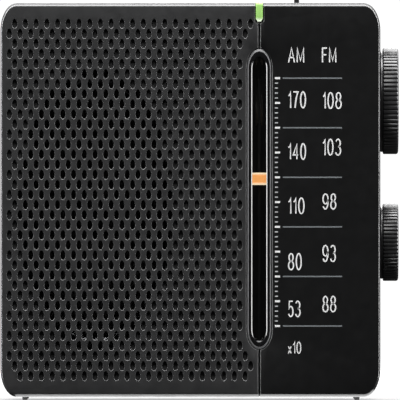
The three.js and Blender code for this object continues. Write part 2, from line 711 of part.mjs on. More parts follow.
function addBandSwitch() {
  const ridge = SWITCH_RIDGE;
  const underWall = TOP - WALL - GAP;
  const ridgeLow = TOP + SWITCH_LIFT;
  const knobGroup = groupAt(SWITCH_X, SWITCH_Y, 0);
  add("band_switch_knob", join(
    box(-ridge.x / 2, ridge.x / 2, -ridge.y / 2, ridge.y / 2, ridgeLow, ridgeLow + ridge.z),
    box(-SWITCH_STEM / 2, SWITCH_STEM / 2, -SWITCH_STEM, SWITCH_STEM, underWall - SWITCH_PLATE,
      ridgeLow + GAP),
    box(-ridge.x, ridge.x, -ridge.y / 4, ridge.y / 4, underWall - SWITCH_PLATE, underWall),
  ), "knob", knobGroup);
  const top = underWall - SWITCH_PLATE - GAP;
  const { x, y, z } = SWITCH_BODY;
  const bodyGroup = groupAt(SWITCH_X + SWITCH_TRAVEL / 2, SWITCH_Y, top);
  add("band_switch", box(-x / 2, x / 2, -y / 2, y / 2, -z, 0), "steel", bodyGroup);
}

function addTuningLight() {
  const high = TOP + LIGHT_PROUD;
  const front = extrude(lightOutline(0, high), "y", FRONT, COVER_BACK);
  const half = LIGHT_WIDTH / 2;
  const over = box(SEAM - half, SEAM + half, COVER_BACK - 1, FRONT + LIGHT_REACH, TOP - WALL, high);
  add("light_guide", join(front, over), "light");
  const dome = new THREE.SphereGeometry(LAMP_RADIUS, ROUND_SIDES, ROUND_SIDES / 2);
  const lampY = FRONT + LIGHT_REACH - LAMP_RADIUS;
  const lampTop = TOP - WALL - GAP - LAMP_RADIUS;
  dome.rotateX(Math.PI / 2).translate(SEAM, lampY, lampTop);
  const stem = rod("z", LAMP_RADIUS, lampTop - LAMP_LENGTH, lampTop, SEAM, lampY);
  add("indicator_lamp", join(dome, stem), "light");
}

// ---------------------------------------------------------------- dial drive
// The loop that a taut cord makes round the pulleys, moved outwards by grow.
// The pulleys are listed counter-clockwise in the plane of Y and Z.
function cordOutline(pulleys, grow) {
  const count = pulleys.length;
  const leaving = pulleys.map((from, i) => {
    const to = pulleys[(i + 1) % count];
    const [dy, dz] = [to.y - from.y, to.z - from.z];
    const tilt = Math.asin((from.radius - to.radius) / Math.hypot(dy, dz));
    return Math.atan2(dz, dy) - Math.PI / 2 + tilt;
  });
  return pulleys.flatMap(({ y, z, radius }, i) => {
    const start = leaving[(i + count - 1) % count];
    const turn = 2 * Math.PI;
    const sweep = (((leaving[i] - start) % turn) + turn) % turn;
    return arc(y, z, radius + grow, radius + grow, start, start + sweep, PILL_STEPS);
  });
}

function addCord() {
  const pulleys = [
    { y: IDLER_Y, z: IDLER_LOW_Z, radius: IDLER_RADIUS },
    { y: 0, z: TUNING_Z, radius: DRUM_RADIUS },
    { y: IDLER_Y, z: IDLER_TOP_Z, radius: IDLER_RADIUS },
  ];
  const loop = extrude(cordOutline(pulleys, CORD / 2), "x", SEAM - CORD / 2, SEAM + CORD / 2, {
    holes: [cordOutline(pulleys, -CORD / 2).reverse()],
  });
  add("dial_cord", loop, "cord");
}

function addIdlers() {
  [["idler_top", IDLER_TOP_Z], ["idler_bottom", IDLER_LOW_Z]].forEach(([name, z]) => {
    add(name, pulley(IDLER_RADIUS, IDLER_PIN_RADIUS + PLAY), "white", groupAt(SEAM, IDLER_Y, z));
  });
}

function addChassis() {
  const front = CARRIAGE_FRONT - GAP;
  const high = IDLER_TOP_Z + IDLER_RADIUS + 2 * PULLEY_FLANGE;
  const low = IDLER_LOW_Z - IDLER_RADIUS - 2 * PULLEY_FLANGE;
  const bearing = TUNING_KNOB.shaftRadius + PLAY;
  const back = bearing + 2 * WALL;
  const armRight = RAIL_X + RAIL_RADIUS + GAP + 1;
  const armBack = CORD_Y + CARRIAGE_DEPTH / 2;
  const pinEnd = SEAM + PULLEY_WIDTH / 2 + GAP;
  const opening = { low: low + back, high: TUNING_Z - back };
  const chassis = cut(
    join(
      box(CHASSIS_LEFT, CHASSIS_RIGHT, front, back, low, high),
      box(CHASSIS_LEFT, armRight, front, armBack, high - CHASSIS_ARM, high),
      box(CHASSIS_LEFT, armRight, front, armBack, low, low + CHASSIS_ARM),
      rod("x", IDLER_PIN_RADIUS, CHASSIS_LEFT, pinEnd, IDLER_Y, IDLER_TOP_Z),
      rod("x", IDLER_PIN_RADIUS, CHASSIS_LEFT, pinEnd, IDLER_Y, IDLER_LOW_Z),
    ),
    rod("x", bearing, CHASSIS_LEFT - 1, CHASSIS_RIGHT + 1, 0, TUNING_Z),
    rod("z", RAIL_RADIUS + GAP, low - 1, high + 1, RAIL_X, CORD_Y),
    box(CHASSIS_LEFT - 1, CHASSIS_RIGHT + 1, IDLER_Y - WALL, WALL, opening.low, opening.high),
  );
  add("dial_chassis", chassis, "steel");
  add("guide_rail", rod("z", RAIL_RADIUS, low + GAP, high - GAP, RAIL_X, CORD_Y), "steel");
}

function addPointer() {
  const group = groupAt(SEAM, 0, POINTER_Z);
  const half = WINDOW_WIDTH / 2 + POINTER_SIDE;
  const stem = POINTER_STEM_WIDTH / 2;
  const flag = box(-half, half, POINTER_FRONT, POINTER_BACK, -POINTER_HEIGHT / 2, POINTER_HEIGHT / 2);
  add("pointer",
    join(flag, box(-stem, stem, POINTER_FRONT + GAP, BACKING_BACK + GAP, -stem, stem)),
    "pointer", group);
  const back = CARRIAGE_FRONT + CARRIAGE_DEPTH;
  const side = CORD / 2 + PLAY;
  add("pointer_carriage", cut(
    box(-2 * stem, RAIL_OFFSET + RAIL_RADIUS + GAP + 1, CARRIAGE_FRONT, back,
      -CARRIAGE_HEIGHT / 2, CARRIAGE_HEIGHT / 2),
    rod("z", RAIL_RADIUS + PLAY, -CARRIAGE_HEIGHT, CARRIAGE_HEIGHT, RAIL_OFFSET, CORD_Y),
    box(-side, side, CORD_Y - side, CORD_Y + side, -CARRIAGE_HEIGHT, CARRIAGE_HEIGHT),
  ), "white", group);
}

function addBacking() {
  const outline = bezelOutline(-GAP);
  const slot = pill(SEAM, BACKING_SLOT, WINDOW_LOW - GAP, WINDOW_HIGH + GAP, BACKING_SLOT / 2);
  add("window_backing",
    extrude(outline, "y", BACKING_FRONT, BACKING_BACK, { holes: [slot.reverse()] }), "rubber");
}

// ---------------------------------------------------------------- loudspeaker
// Turned shapes squeezed sideways, so that a round profile becomes the oval of the frame.
function oval(points) {
  const squeeze = (SPEAKER_HALF_WIDTH + SPEAKER_FLANGE) / (SPEAKER_HALF_HEIGHT + SPEAKER_FLANGE);
  return turned(points).scale(squeeze, 1, 1);
}

function addSpeaker() {
  const group = groupAt(SPEAKER_X, 0, SPEAKER_Z);
  const rim = SPEAKER_HALF_HEIGHT + SPEAKER_FLANGE;
  const mouth = rim - 3 * SPEAKER_FLANGE;
  const neck = MAGNET_RADIUS;
  const coneNeck = neck / 2;
  const flangeBack = FLANGE_FRONT + BASKET_WALL;
  const floor = BASKET_BACK - BASKET_WALL;
  const gasketFront = PLATE_BACK + GAP;
  const gasket = oval([
    [mouth, gasketFront], [rim, gasketFront], [rim, gasketFront + GASKET_THICKNESS],
    [mouth, gasketFront + GASKET_THICKNESS], [mouth, gasketFront],
  ]);
  add("speaker_gasket", gasket, "rubber", group);
  const basket = oval([
    [0, floor], [neck, floor], [mouth, flangeBack], [mouth, FLANGE_FRONT], [rim, FLANGE_FRONT],
    [rim, flangeBack], [mouth + BASKET_WALL, flangeBack], [neck + BASKET_WALL, BASKET_BACK],
    [0, BASKET_BACK],
  ]);
  add("speaker_basket", basket, "steel", group);
  const coneRim = mouth - 2 * CONE_TRAVEL_ROOM;
  const coneBack = floor - CONE_TRAVEL_ROOM;
  const cone = oval([
    [coneNeck, coneBack - CONE_WALL], [coneRim, FLANGE_FRONT], [coneRim, FLANGE_FRONT + CONE_WALL],
    [coneNeck, coneBack], [coneNeck, coneBack - CONE_WALL],
  ]);
  add("speaker_cone", cone, "cone", group);
  const capBase = coneBack - CONE_WALL - GAP;
  const cap = oval([
    [0, capBase - coneNeck], [coneNeck * 0.75, capBase - coneNeck * 0.6], [coneNeck, capBase],
    [0, capBase],
  ]);
  add("dust_cap", cap, "cone", group);
  add("speaker_magnet",
    rod("y", MAGNET_RADIUS, BASKET_BACK + GAP, BASKET_BACK + GAP + MAGNET_LENGTH, 0, 0, LATHE_SIDES),
    "steel", group);
}

// ---------------------------------------------------------------- electronics
function addElectronics() {
  const boardLeft = SEAM + IDLER_RADIUS;
  const boardRight = GEAR_X - 2 * GAP;
  add("circuit_board",
    box(boardLeft, boardRight, BOARD_FRONT, BOARD_BACK, BOTTOM + 8 * WALL, SHELF_Z - 3 * WALL),
    "board");
  const chip = { x: 12, y: 2, z: 7 };
  const chipGroup = groupAt((boardLeft + boardRight) / 2, BOARD_BACK + GAP, POINTER_Z);
  add("radio_chip", box(-chip.x / 2, chip.x / 2, 0, chip.y, -chip.z / 2, chip.z / 2), "rubber",
    chipGroup);
  const can = { radius: 3, length: 7 };
  const canGroup = groupAt(boardLeft + 2 * can.radius, BOARD_FRONT - GAP, BOTTOM + 12 * WALL);
  add("filter_capacitor", rod("y", can.radius, -can.length, 0), "cell", canGroup);

  const ferriteGroup = groupAt(CHASSIS_LEFT - FERRITE_FROM_CHASSIS, FRONT + FERRITE_FROM_FRONT, FERRITE_Z);
  add("ferrite_rod", rod("x", FERRITE_RADIUS, -FERRITE_LENGTH, 0), "ferrite", ferriteGroup);
  const coilInner = FERRITE_RADIUS + GAP;
  const coilEnd = -COIL_LENGTH / 4;
  add("ferrite_coil", extrude(ellipse(0, 0, coilInner + COIL_WALL), "x",
    coilEnd - COIL_LENGTH, coilEnd, { holes: [ellipse(0, 0, coilInner).reverse()] }),
  "copper", ferriteGroup);

  const jackBody = { x: 11, y: 8, z: 8 };
  const jackGroup = groupAt(LEFT, 0, JACK_Z);
  add("headphone_jack", cut(
    join(
      rod("x", JACK_RADIUS, 0, WALL + 1),
      box(WALL + GAP, WALL + GAP + jackBody.x, -jackBody.y / 2, jackBody.y / 2,
        -jackBody.z / 2, jackBody.z / 2),
    ),
    rod("x", JACK_BORE, -1, WALL + jackBody.x - 1),
  ), "rubber", jackGroup);
}

// ---------------------------------------------------------------- batteries
class Coil extends THREE.Curve {
  getPoint(t) {
    const angle = 2 * Math.PI * SPRING_TURNS * t;
    const reach = SPRING_RADIUS * (1 - t / 3);
    const length = CELL_ROOM - 2 * CONTACT_THICKNESS - GAP - SPRING_WIRE;
    return new THREE.Vector3(length * t, reach * Math.cos(angle), reach * Math.sin(angle));
  }
}

function spring() {
  const wire = new THREE.Shape(ellipse(0, 0, SPRING_WIRE, SPRING_WIRE, WIRE_SIDES));
  const steps = STEPS_PER_TURN * SPRING_TURNS;
  return new THREE.ExtrudeGeometry(wire, { steps, extrudePath: new Coil() });
}

function addBatteries() {
  const cell = join(
    rod("x", CELL_RADIUS, -CELL_LENGTH / 2, CELL_LENGTH / 2 - CELL_TIP),
    rod("x", CELL_TIP_RADIUS, 0, CELL_LENGTH / 2),
  );
  [1, 2].forEach((number) => {
    const turn = groupAt(TRAY_X, CELL_Y, TRAY_Z + CELL_PITCH * (number - 1.5));
    turn.rotation.z = number === 1 ? 0 : Math.PI;
    add(`battery_${number}`, cell, "cell", turn);
  });
  const halfHeight = TRAY_HALF_HEIGHT - GAP;
  const plate = box(0, CONTACT_THICKNESS, -CELL_RADIUS, CELL_RADIUS, -halfHeight, halfHeight);
  const coils = [-1, 1].map((side) =>
    spring().translate(CONTACT_THICKNESS / 2, 0, (side * CELL_PITCH) / 2));
  const left = groupAt(TRAY_X - TRAY_HALF + GAP, CELL_Y, TRAY_Z);
  add("spring_contact", join(plate, ...coils), "steel", left);
  const right = groupAt(TRAY_X + TRAY_HALF - GAP, CELL_Y, TRAY_Z);
  right.rotation.z = Math.PI;
  const buttonReach = CELL_ROOM - 2 * GAP;
  const buttons = [-1, 1].map((side) =>
    rod("x", CELL_TIP_RADIUS, CONTACT_THICKNESS / 2, buttonReach, 0, (side * CELL_PITCH) / 2));
  add("button_contact", join(plate.clone(), ...buttons), "steel", right);
}

function addDoor() {
  const group = groupAt(TRAY_X, DOOR_PIVOT_Y, DOOR_PIVOT_Z);
  const half = WALL / 2;
  const reach = DOOR_HALF + DOOR_PIN_LENGTH;
  const grip = { width: 14, height: 1, drop: 5 };
  const top = DOOR_HEIGHT - half;
  const groove = (rise) => box(-grip.width / 2, grip.width / 2, half - grip.height / 2, half + 1,
    top - grip.drop - rise, top - grip.drop - rise + grip.height);
  add("battery_door", cut(
    join(
      box(-DOOR_HALF, DOOR_HALF, -half, half, -half, top),
      rod("x", DOOR_PIN_RADIUS, -reach, reach),
    ),
    groove(0), groove(2 * grip.height), groove(4 * grip.height),
  ), "shell", group);
}

// ---------------------------------------------------------------- antenna
// It lies along the shelf. The swivel turns about Y, the elbow about Z.
function addAntenna() {
  const group = groupAt(ANTENNA_X, ANTENNA_Y, ANTENNA_Z);
  const disc = SHELF_Y + GAP - ANTENNA_Y;
  const forkBack = disc + SWIVEL_THICKNESS + FORK_LENGTH;
  const lugInner = TONGUE / 2 + GAP;
  const lug = (z0) => box(-TONGUE, TONGUE, disc + SWIVEL_THICKNESS - 1, forkBack, z0, z0 + FORK_LUG);
  const pinHole = ANTENNA_PIN_RADIUS + GAP;
  add("antenna_swivel", cut(
    join(
      rod("y", SWIVEL_RADIUS, disc, disc + SWIVEL_THICKNESS),
      lug(lugInner),
      lug(-lugInner - FORK_LUG),
    ),
    rod("z", pinHole, -SWIVEL_RADIUS, SWIVEL_RADIUS),
  ), "steel", group);
  const pinReach = lugInner + FORK_LUG;
  add("antenna_pin", rod("z", ANTENNA_PIN_RADIUS, -pinReach, pinReach), "steel", group);

  const [outer, ...inner] = ANTENNA_RADII;
  const start = Math.hypot(TONGUE, forkBack) + GAP;
  const tongueEnd = start + 2 * ANTENNA_STEP;
  const tubeLength = ANTENNA_LENGTH;
  add("antenna_tube_1", cut(
    join(
      rod("z", TONGUE, -TONGUE / 2, TONGUE / 2),
      box(0, tongueEnd, -TONGUE / 2, TONGUE / 2, -TONGUE / 2, TONGUE / 2),
      rod("x", outer, start, tubeLength),
    ),
    rod("z", pinHole, -TONGUE, TONGUE),
    rod("x", outer - TUBE_WALL, tongueEnd, tubeLength + 1),
  ), "steel", group);
  inner.forEach((radius, i) => {
    const from = tongueEnd + (i + 1) * GAP;
    const to = tubeLength + (i + 1) * ANTENNA_STEP;
    const tube = rod("x", radius, from, to);
    const last = i === inner.length - 1;
    const piece = last
      ? join(tube, rod("x", outer, to, to + ANTENNA_CAP))
      : cut(tube, rod("x", radius - TUBE_WALL, from + GAP / 2, to + 1));
    add(last ? "antenna_rod" : `antenna_tube_${i + 2}`, piece, "steel", group);
  });
}

addCase();
addScrews();
addFeet();
addTuning();
addCapacitor();
addVolume();
addBandSwitch();
addTuningLight();
addCord();
addIdlers();
addChassis();
addPointer();
addBacking();
addSpeaker();
addElectronics();
addBatteries();
addDoor();
addAntenna();

export default radio;
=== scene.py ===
"""Tabletop radio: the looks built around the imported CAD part.

Metres throughout. The front faces -Y, +X is to the right and +Z is up.
"""

import json
import math

import bpy
import numpy as np
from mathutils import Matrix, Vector
from mathutils.geometry import delaunay_2d_cdt

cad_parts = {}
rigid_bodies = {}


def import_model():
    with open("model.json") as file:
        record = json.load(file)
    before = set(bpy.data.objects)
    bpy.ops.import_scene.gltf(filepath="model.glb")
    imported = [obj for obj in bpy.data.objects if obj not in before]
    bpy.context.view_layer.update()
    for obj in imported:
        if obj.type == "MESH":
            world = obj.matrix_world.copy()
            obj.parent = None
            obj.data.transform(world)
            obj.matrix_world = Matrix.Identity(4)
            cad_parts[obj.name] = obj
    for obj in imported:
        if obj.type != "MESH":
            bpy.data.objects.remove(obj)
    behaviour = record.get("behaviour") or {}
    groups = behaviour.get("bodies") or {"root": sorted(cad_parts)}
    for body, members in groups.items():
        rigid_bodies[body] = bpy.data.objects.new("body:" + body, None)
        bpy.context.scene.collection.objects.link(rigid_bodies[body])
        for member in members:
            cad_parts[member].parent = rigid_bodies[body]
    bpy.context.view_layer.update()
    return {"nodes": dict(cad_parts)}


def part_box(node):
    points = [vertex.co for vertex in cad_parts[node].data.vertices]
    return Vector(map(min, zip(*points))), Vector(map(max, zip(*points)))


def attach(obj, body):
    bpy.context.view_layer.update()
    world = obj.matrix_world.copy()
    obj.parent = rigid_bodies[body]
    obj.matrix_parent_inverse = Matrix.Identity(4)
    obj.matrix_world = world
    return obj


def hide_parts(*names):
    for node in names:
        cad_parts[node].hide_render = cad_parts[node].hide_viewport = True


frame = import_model()
MM = 0.001
TAU = 2 * math.pi


# ---------------------------------------------------------------- places taken from the frame
def span(node, axis):
    """The lowest and the highest place of a CAD node along one axis."""
    low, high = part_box(node)
    return low[axis], high[axis]


LEFT, SEAM_LEFT = span("grille_cover", 0)
SEAM_RIGHT, RIGHT = span("dial_cover", 0)
SEAM = (SEAM_LEFT + SEAM_RIGHT) / 2
BOTTOM, TOP = span("grille_cover", 2)
BOTTOM -= 0.2 * MM  # the covers hang a little below the shell
FRONT, COVER_BACK = span("grille_cover", 1)
FACE = FRONT + 0.04 * MM  # the faces lie a hair behind the box, so that the print has room
SPEAKER_X = sum(span("speaker_cone", 0)) / 2
SPEAKER_Z = sum(span("speaker_cone", 2)) / 2
BEZEL_X, BEZEL_Z = span("window_bezel", 0), span("window_bezel", 2)
LIGHT_X, LIGHT_LOW = span("light_guide", 0), span("light_guide", 2)[0]

# ---------------------------------------------------------------- sizes of the front's details
CORNER = (5.4 * MM, 9.2 * MM)  # the rounding of a cover's corner, across and up
NOTCH_BEND = 0.9 * MM  # the rounding at the foot of the notch for the light bar
EDGE_FLAT, EDGE_RISE = 1.5 * MM, 1.6 * MM  # where a seam edge hands over to an outer one
SEAM_ROUND = 0.45 * MM
EDGE_BAND = (0.62 * MM, 1.24 * MM)  # the moulded edge round each cover: beside it, above and below it
EDGE_PROFILE = [  # share of the way in, depth behind the face as a share of the band's height
    (0, 1.25), (0.1, 1.02), (0.3, 0.66), (0.44, 0.44), (0.56, 0.29), (0.74, 0.1), (0.82, 0.045),
    (0.9, 0.01), (1, 0),
]
SEAM_PROFILE = [  # the same for an edge on the seam, as shares of SEAM_ROUND
    (0, 1), (0, 1), (0, 0.9), (0, 0.9), (0.05, 0.8), (0.35, 0.5), (0.7, 0.2), (0.92, 0.03), (1, 0),
]
# this step of the cover's edge takes the rim finish, a painted highlight
HIGHLIGHT_PAINT_STEP = 5  # the step of EDGE_PROFILE that shines, counted from the cover's back
BEZEL_END, BEZEL_ROOM, LIGHT_ROOM = 6.5 * MM, 0.08 * MM, 0.1 * MM
COLLAR_Z = LIGHT_LOW - LIGHT_ROOM
WINDOW_HALF, WINDOW_Z, WINDOW_END = 2.575 * MM, (19.1 * MM, 113.5 * MM), 4.1 * MM

HOLE_ROWS, HOLE_PITCH = 36, (3.538 * MM, 3.323 * MM)
HOLE_START = (4.73 * MM, 2.95 * MM)  # the first hole from the left edge, in even and in odd rows
HOLE_TOP = 6.8 * MM  # the first row below the top edge
HOLES_IN_ROW, LONG_ROWS = 22, (0, 1, 33, 34, 35)  # a long row has one hole more
HOLE_SIDES = 16
HOLE_MOUTH, HOLE_BORE = (0.985 * MM, 1.70 * MM), (0.79 * MM, 1.43 * MM)  # half width, half height
HOLE_CHAMFER, HOLE_DIMPLE = 0.34 * MM, 1.55 * MM  # depths of the chamfer and of a blind hole
SPEAKER_HALF = (25.4 * MM, 46.5 * MM)  # holes in this oval go right through


# ---------------------------------------------------------------- materials
def new_material(name, color, roughness, **sockets):
    mat = bpy.data.materials.new(name)
    mat.use_nodes = True
    shader = mat.node_tree.nodes["Principled BSDF"]
    shader.inputs["Base Color"].default_value = (*color, 1)
    shader.inputs["Roughness"].default_value = roughness
    for key, value in sockets.items():
        shader.inputs[key.replace("_", " ")].default_value = value
    return mat


def node(mat, kind, **values):
    """A new node. The values are for its sockets where it has them, or else for its settings."""
    made = mat.node_tree.nodes.new(kind)
    for key, value in values.items():
        if key in made.inputs:
            made.inputs[key].default_value = value
        else:
            setattr(made, key, value)
    return made


def place(mat, stretch=(1, 1, 1)):
    """Object coordinates in metres, stretched so that a texture can run along one axis."""
    where = node(mat, "ShaderNodeTexCoord")
    scale = node(mat, "ShaderNodeMapping", Scale=stretch)
    mat.node_tree.links.new(where.outputs["Object"], scale.inputs["Vector"])
    return scale.outputs["Vector"]


def height_in(mat):
    """The height over the ground."""
    split = node(mat, "ShaderNodeSeparateXYZ")
    where = node(mat, "ShaderNodeTexCoord")
    mat.node_tree.links.new(where.outputs["Object"], split.inputs["Vector"])
    return split.outputs["Z"]


def noise(mat, size, detail=2.0, stretch=(1, 1, 1)):
    made = node(mat, "ShaderNodeTexNoise", Scale=1 / size, Detail=detail)
    mat.node_tree.links.new(place(mat, stretch), made.inputs["Vector"])
    return made.outputs["Fac"]


def ramp(mat, value, low, high, to_low, to_high):
    """value between low and high, spread over to_low to to_high: numbers or colours."""
    links = mat.node_tree.links
    if isinstance(to_low, tuple):
        made = node(mat, "ShaderNodeValToRGB")
        stops = made.color_ramp.elements
        stops[0].position, stops[0].color = low, (*to_low, 1)
        stops[1].position, stops[1].color = high, (*to_high, 1)
        links.new(value, made.inputs["Fac"])
        return made.outputs["Color"]
    made = node(mat, "ShaderNodeMapRange")
    for key, number in zip(("From Min", "From Max", "To Min", "To Max"), (low, high, to_low, to_high)):
        made.inputs[key].default_value = number
    links.new(value, made.inputs["Value"])
    return made.outputs["Result"]


def feed(mat, socket, output):
    mat.node_tree.links.new(output, mat.node_tree.nodes["Principled BSDF"].inputs[socket])


def bump(mat, height, depth, strength=1.0):
    made = node(mat, "ShaderNodeBump", Strength=strength, Distance=depth)
    mat.node_tree.links.new(height, made.inputs["Height"])
    feed(mat, "Normal", made.outputs["Normal"])


def moulded(name, color, roughness, grain, depth, shift=0.18, spread=0.06, **sockets):
    """Moulded plastic: a fine spark-eroded grain, a slow change of tone and of gloss."""
    mat = new_material(name, color, roughness, **sockets)
    dark = tuple(c * (1 - shift) for c in color)
    light = tuple(c * (1 + shift) for c in color)
    feed(mat, "Base Color", ramp(mat, noise(mat, 14 * MM, 3), 0.35, 0.65, dark, light))
    feed(mat, "Roughness",
         ramp(mat, noise(mat, 3 * MM, 4), 0.3, 0.7, roughness - spread, roughness + spread))
    bump(mat, noise(mat, grain, 3), depth)
    return mat


def metal(name, color, roughness, stretch, lines=0.12 * MM, shift=0.12, relief=0.004 * MM):
    """Turned or drawn metal: fine lines along one axis in the gloss and the tone."""
    mat = new_material(name, color, roughness, Metallic=1.0)
    streak = noise(mat, lines, 3, stretch)
    feed(mat, "Roughness", ramp(mat, streak, 0.3, 0.7, roughness * 0.6, roughness * 1.5))
    dark = tuple(c * (1 - shift) for c in color)
    feed(mat, "Base Color", ramp(mat, noise(mat, 5 * MM, 3), 0.35, 0.65, dark, color))
    bump(mat, streak, relief, 0.5)
    return mat


def give_glow(mat, color, strength):
    """Gives plastic its colour, a glow of the same colour and a slight unevenness: the light bar's own
    glow, and painted light in the pointer.
    """
    feed(mat, "Base Color", color)
    feed(mat, "Emission Color", color)
    mat.node_tree.nodes["Principled BSDF"].inputs["Emission Strength"].default_value = strength
    bump(mat, noise(mat, 0.3 * MM, 2), 0.004 * MM)


def glowing(name, low, high, from_z, to_z, roughness, strength):
    """Coloured plastic lit from inside, which changes from low to high between two heights. In the light
    bar the pale low colour is a painted highlight at its lower end.
    """
    mat = new_material(name, high, roughness)
    rise = ramp(mat, height_in(mat), from_z, to_z, 0.0, 1.0)
    give_glow(mat, ramp(mat, rise, 0, 1, low, high), strength)
    return mat


def pointer_plastic(low_z, high_z):
    """Orange plastic with a painted glow, as if lit from inside, which turns paler towards its upper and
    lower edge: a painted highlight.
    """
    mat = new_material("pointer_plastic", (0.87, 0.37, 0.11), 0.35)
    away = node(mat, "ShaderNodeMath", operation="SUBTRACT")
    away.inputs[1].default_value = (low_z + high_z) / 2
    size = node(mat, "ShaderNodeMath", operation="ABSOLUTE")
    mat.node_tree.links.new(height_in(mat), away.inputs[0])
    mat.node_tree.links.new(away.outputs[0], size.inputs[0])
    # the paler upper and lower edges are a painted highlight, and the glow is painted light: the pointer
    # holds no lamp
    edge = ramp(mat, size.outputs[0], 1.1 * MM, 1.75 * MM, 0.0, 1.0)
    give_glow(mat, ramp(mat, edge, 0, 1, (0.86, 0.37, 0.11), (1.0, 0.78, 0.52)), 1.08)
    return mat


def clear_acrylic():
    """Light passes straight through, and the surface mirrors a little."""
    mat = bpy.data.materials.new("lens")
    mat.use_nodes = True
    tree = mat.node_tree
    tree.nodes.remove(tree.nodes["Principled BSDF"])
    clear = node(mat, "ShaderNodeBsdfTransparent", Color=(0.93, 0.94, 0.95, 1))
    gloss = node(mat, "ShaderNodeBsdfGlossy", Roughness=0.04)
    fresnel = node(mat, "ShaderNodeFresnel", IOR=1.49)
    mix = node(mat, "ShaderNodeMixShader")
    tree.links.new(fresnel.outputs["Fac"], mix.inputs["Fac"])
    tree.links.new(clear.outputs["BSDF"], mix.inputs[1])
    tree.links.new(gloss.outputs["BSDF"], mix.inputs[2])
    tree.links.new(mix.outputs["Shader"], tree.nodes["Material Output"].inputs["Surface"])
    return mat


def printed(name, color):
    """Screen-printed ink, a little uneven."""
    mat = new_material(name, color, 0.55)
    dark = tuple(c * 0.86 for c in color)
    feed(mat, "Base Color", ramp(mat, noise(mat, 0.5 * MM, 4), 0.35, 0.6, dark, color))
    bump(mat, noise(mat, 0.12 * MM, 2), 0.004 * MM)
    return mat


MATERIALS = {
    "grille_plastic": moulded("grille_plastic", (0.0185, 0.0187, 0.0193), 0.46, 0.32 * MM, 0.03 * MM, 0.1),
    "dial_plastic": moulded("dial_plastic", (0.0027, 0.0028, 0.003), 0.34, 0.16 * MM, 0.002 * MM,
                            0.08, 0.02),
    "shell_plastic": moulded("shell_plastic", (0.0095, 0.0096, 0.01), 0.5, 0.26 * MM, 0.02 * MM,
                             0.07, 0.03, Specular_IOR_Level=0.36),
    "bezel_plastic": moulded("bezel_plastic", (0.005, 0.005, 0.0055), 0.16, 0.3 * MM, 0.002 * MM),
    "knob_plastic": moulded("knob_plastic", (0.019, 0.019, 0.0196), 0.3, 0.2 * MM, 0.003 * MM, 0.05, 0.012),
    # rim is glossy and lighter than the plastics round it: a painted highlight on the covers' outer edges
    # and on the holes' chamfers
    "rim": moulded("rim", (0.045, 0.045, 0.046), 0.16, 0.3 * MM, 0.001 * MM, 0.1, 0.03),
    "rubber": moulded("rubber", (0.012, 0.012, 0.012), 0.75, 0.25 * MM, 0.02 * MM),
    "white_plastic": moulded("white_plastic", (0.66, 0.64, 0.58), 0.4, 0.3 * MM, 0.004 * MM, shift=0.05),
    "cone_paper": moulded("cone_paper", (0.02, 0.019, 0.018), 0.85, 0.5 * MM, 0.06 * MM, shift=0.3),
    "ferrite": moulded("ferrite", (0.045, 0.042, 0.04), 0.55, 0.12 * MM, 0.012 * MM),
    "steel": metal("steel", (0.52, 0.53, 0.55), 0.3, (1, 1, 1)),
    "chrome": metal("chrome", (0.6, 0.61, 0.63), 0.2, (0.03, 1, 1), 0.6 * MM, 0.08, 0.0003 * MM),
    "brass": metal("brass", (0.62, 0.43, 0.17), 0.28, (1, 1, 1)),
}


# ---------------------------------------------------------------- mesh helpers
def piece(name, points, faces, slot, body, *nodes, smooth=38, material=None, rims=(), rim_finish=None):
    """A mesh object from points in metres, with its finish, its body and the nodes it replaces.
    rims are the faces that take rim_finish, and smooth is the angle up to which edges look round."""
    mesh = bpy.data.meshes.new(name)
    mesh.from_pydata([tuple(p) for p in points], [], [tuple(f) for f in faces])
    finishes = np.zeros(len(mesh.polygons), np.int32)
    finishes[list(rims)] = 1
    mesh.polygons.foreach_set("material_index", finishes)
    mesh.shade_smooth()
    mesh.set_sharp_from_angle(angle=math.radians(smooth))
    made = bpy.data.objects.new(name, mesh)
    bpy.context.scene.collection.objects.link(made)
    mesh.materials.append(material or MATERIALS[slot])
    if rim_finish:
        mesh.materials.append(rim_finish)
    mesh.validate()
    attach(made, body)
    if nodes:
        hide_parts(*nodes)
    return made


class Shell:
    """Collects points and faces for one piece."""

    def __init__(self):
        self.points, self.faces, self.rims = [], [], []

    def ring(self, points):
        start = len(self.points)
        self.points.extend(tuple(p) for p in points)
        return list(range(start, start + len(points)))

    def bridge(self, a, b):
        for i in range(len(a)):
            j = (i + 1) % len(a)
            self.faces.append((a[i], a[j], b[j], b[i]))

    def loft(self, rings, caps=(True, True), round_again=False):
        """Rings of equally many points, joined one to the next, and the last to the first if round_again.
        They run anticlockwise as seen from the side that the first step leads to."""
        made = [self.ring(r) for r in rings]
        for a, b in zip(made, made[1:]):
            self.bridge(a, b)
        if round_again:
            self.bridge(made[-1], made[0])
        if caps[0]:
            self.faces.append(tuple(reversed(made[0])))
        if caps[1]:
            self.faces.append(tuple(made[-1]))
        return made

    def box(self, low, high):
        (x0, y0, z0), (x1, y1, z1) = low, high
        floor = [(x0, y0, z0), (x1, y0, z0), (x1, y1, z0), (x0, y1, z0)]
        self.loft([floor, [(x, y, z1) for x, y, _ in floor]])

    def mark_rims(self, start):
        """The faces added since start take the second finish."""
        self.rims.extend(range(start, len(self.faces)))

    def piece(self, name, slot, body, *nodes, **options):
        return piece(name, self.points, self.faces, slot, body, *nodes, rims=self.rims, **options)


def arc(cx, cz, rx, rz, start, end, steps):
    """Points on an ellipse from start to end, in degrees, both included."""
    angles = np.radians(np.linspace(start, end, steps + 1))
    return [(cx + rx * math.cos(a), cz + rz * math.sin(a)) for a in angles]


def turn(sides):
    """Angles once round, evenly spaced."""
    return [TAU * k / sides for k in range(sides)]


def pill(half, low, high, end, steps=28):
    """A tall slot about the seam with elliptical ends, anticlockwise from its right side."""
    top = arc(SEAM, high - end, half, end, 0, 180, steps)
    bottom = arc(SEAM, low + end, half, end, 180, 360, steps)
    return top + bottom


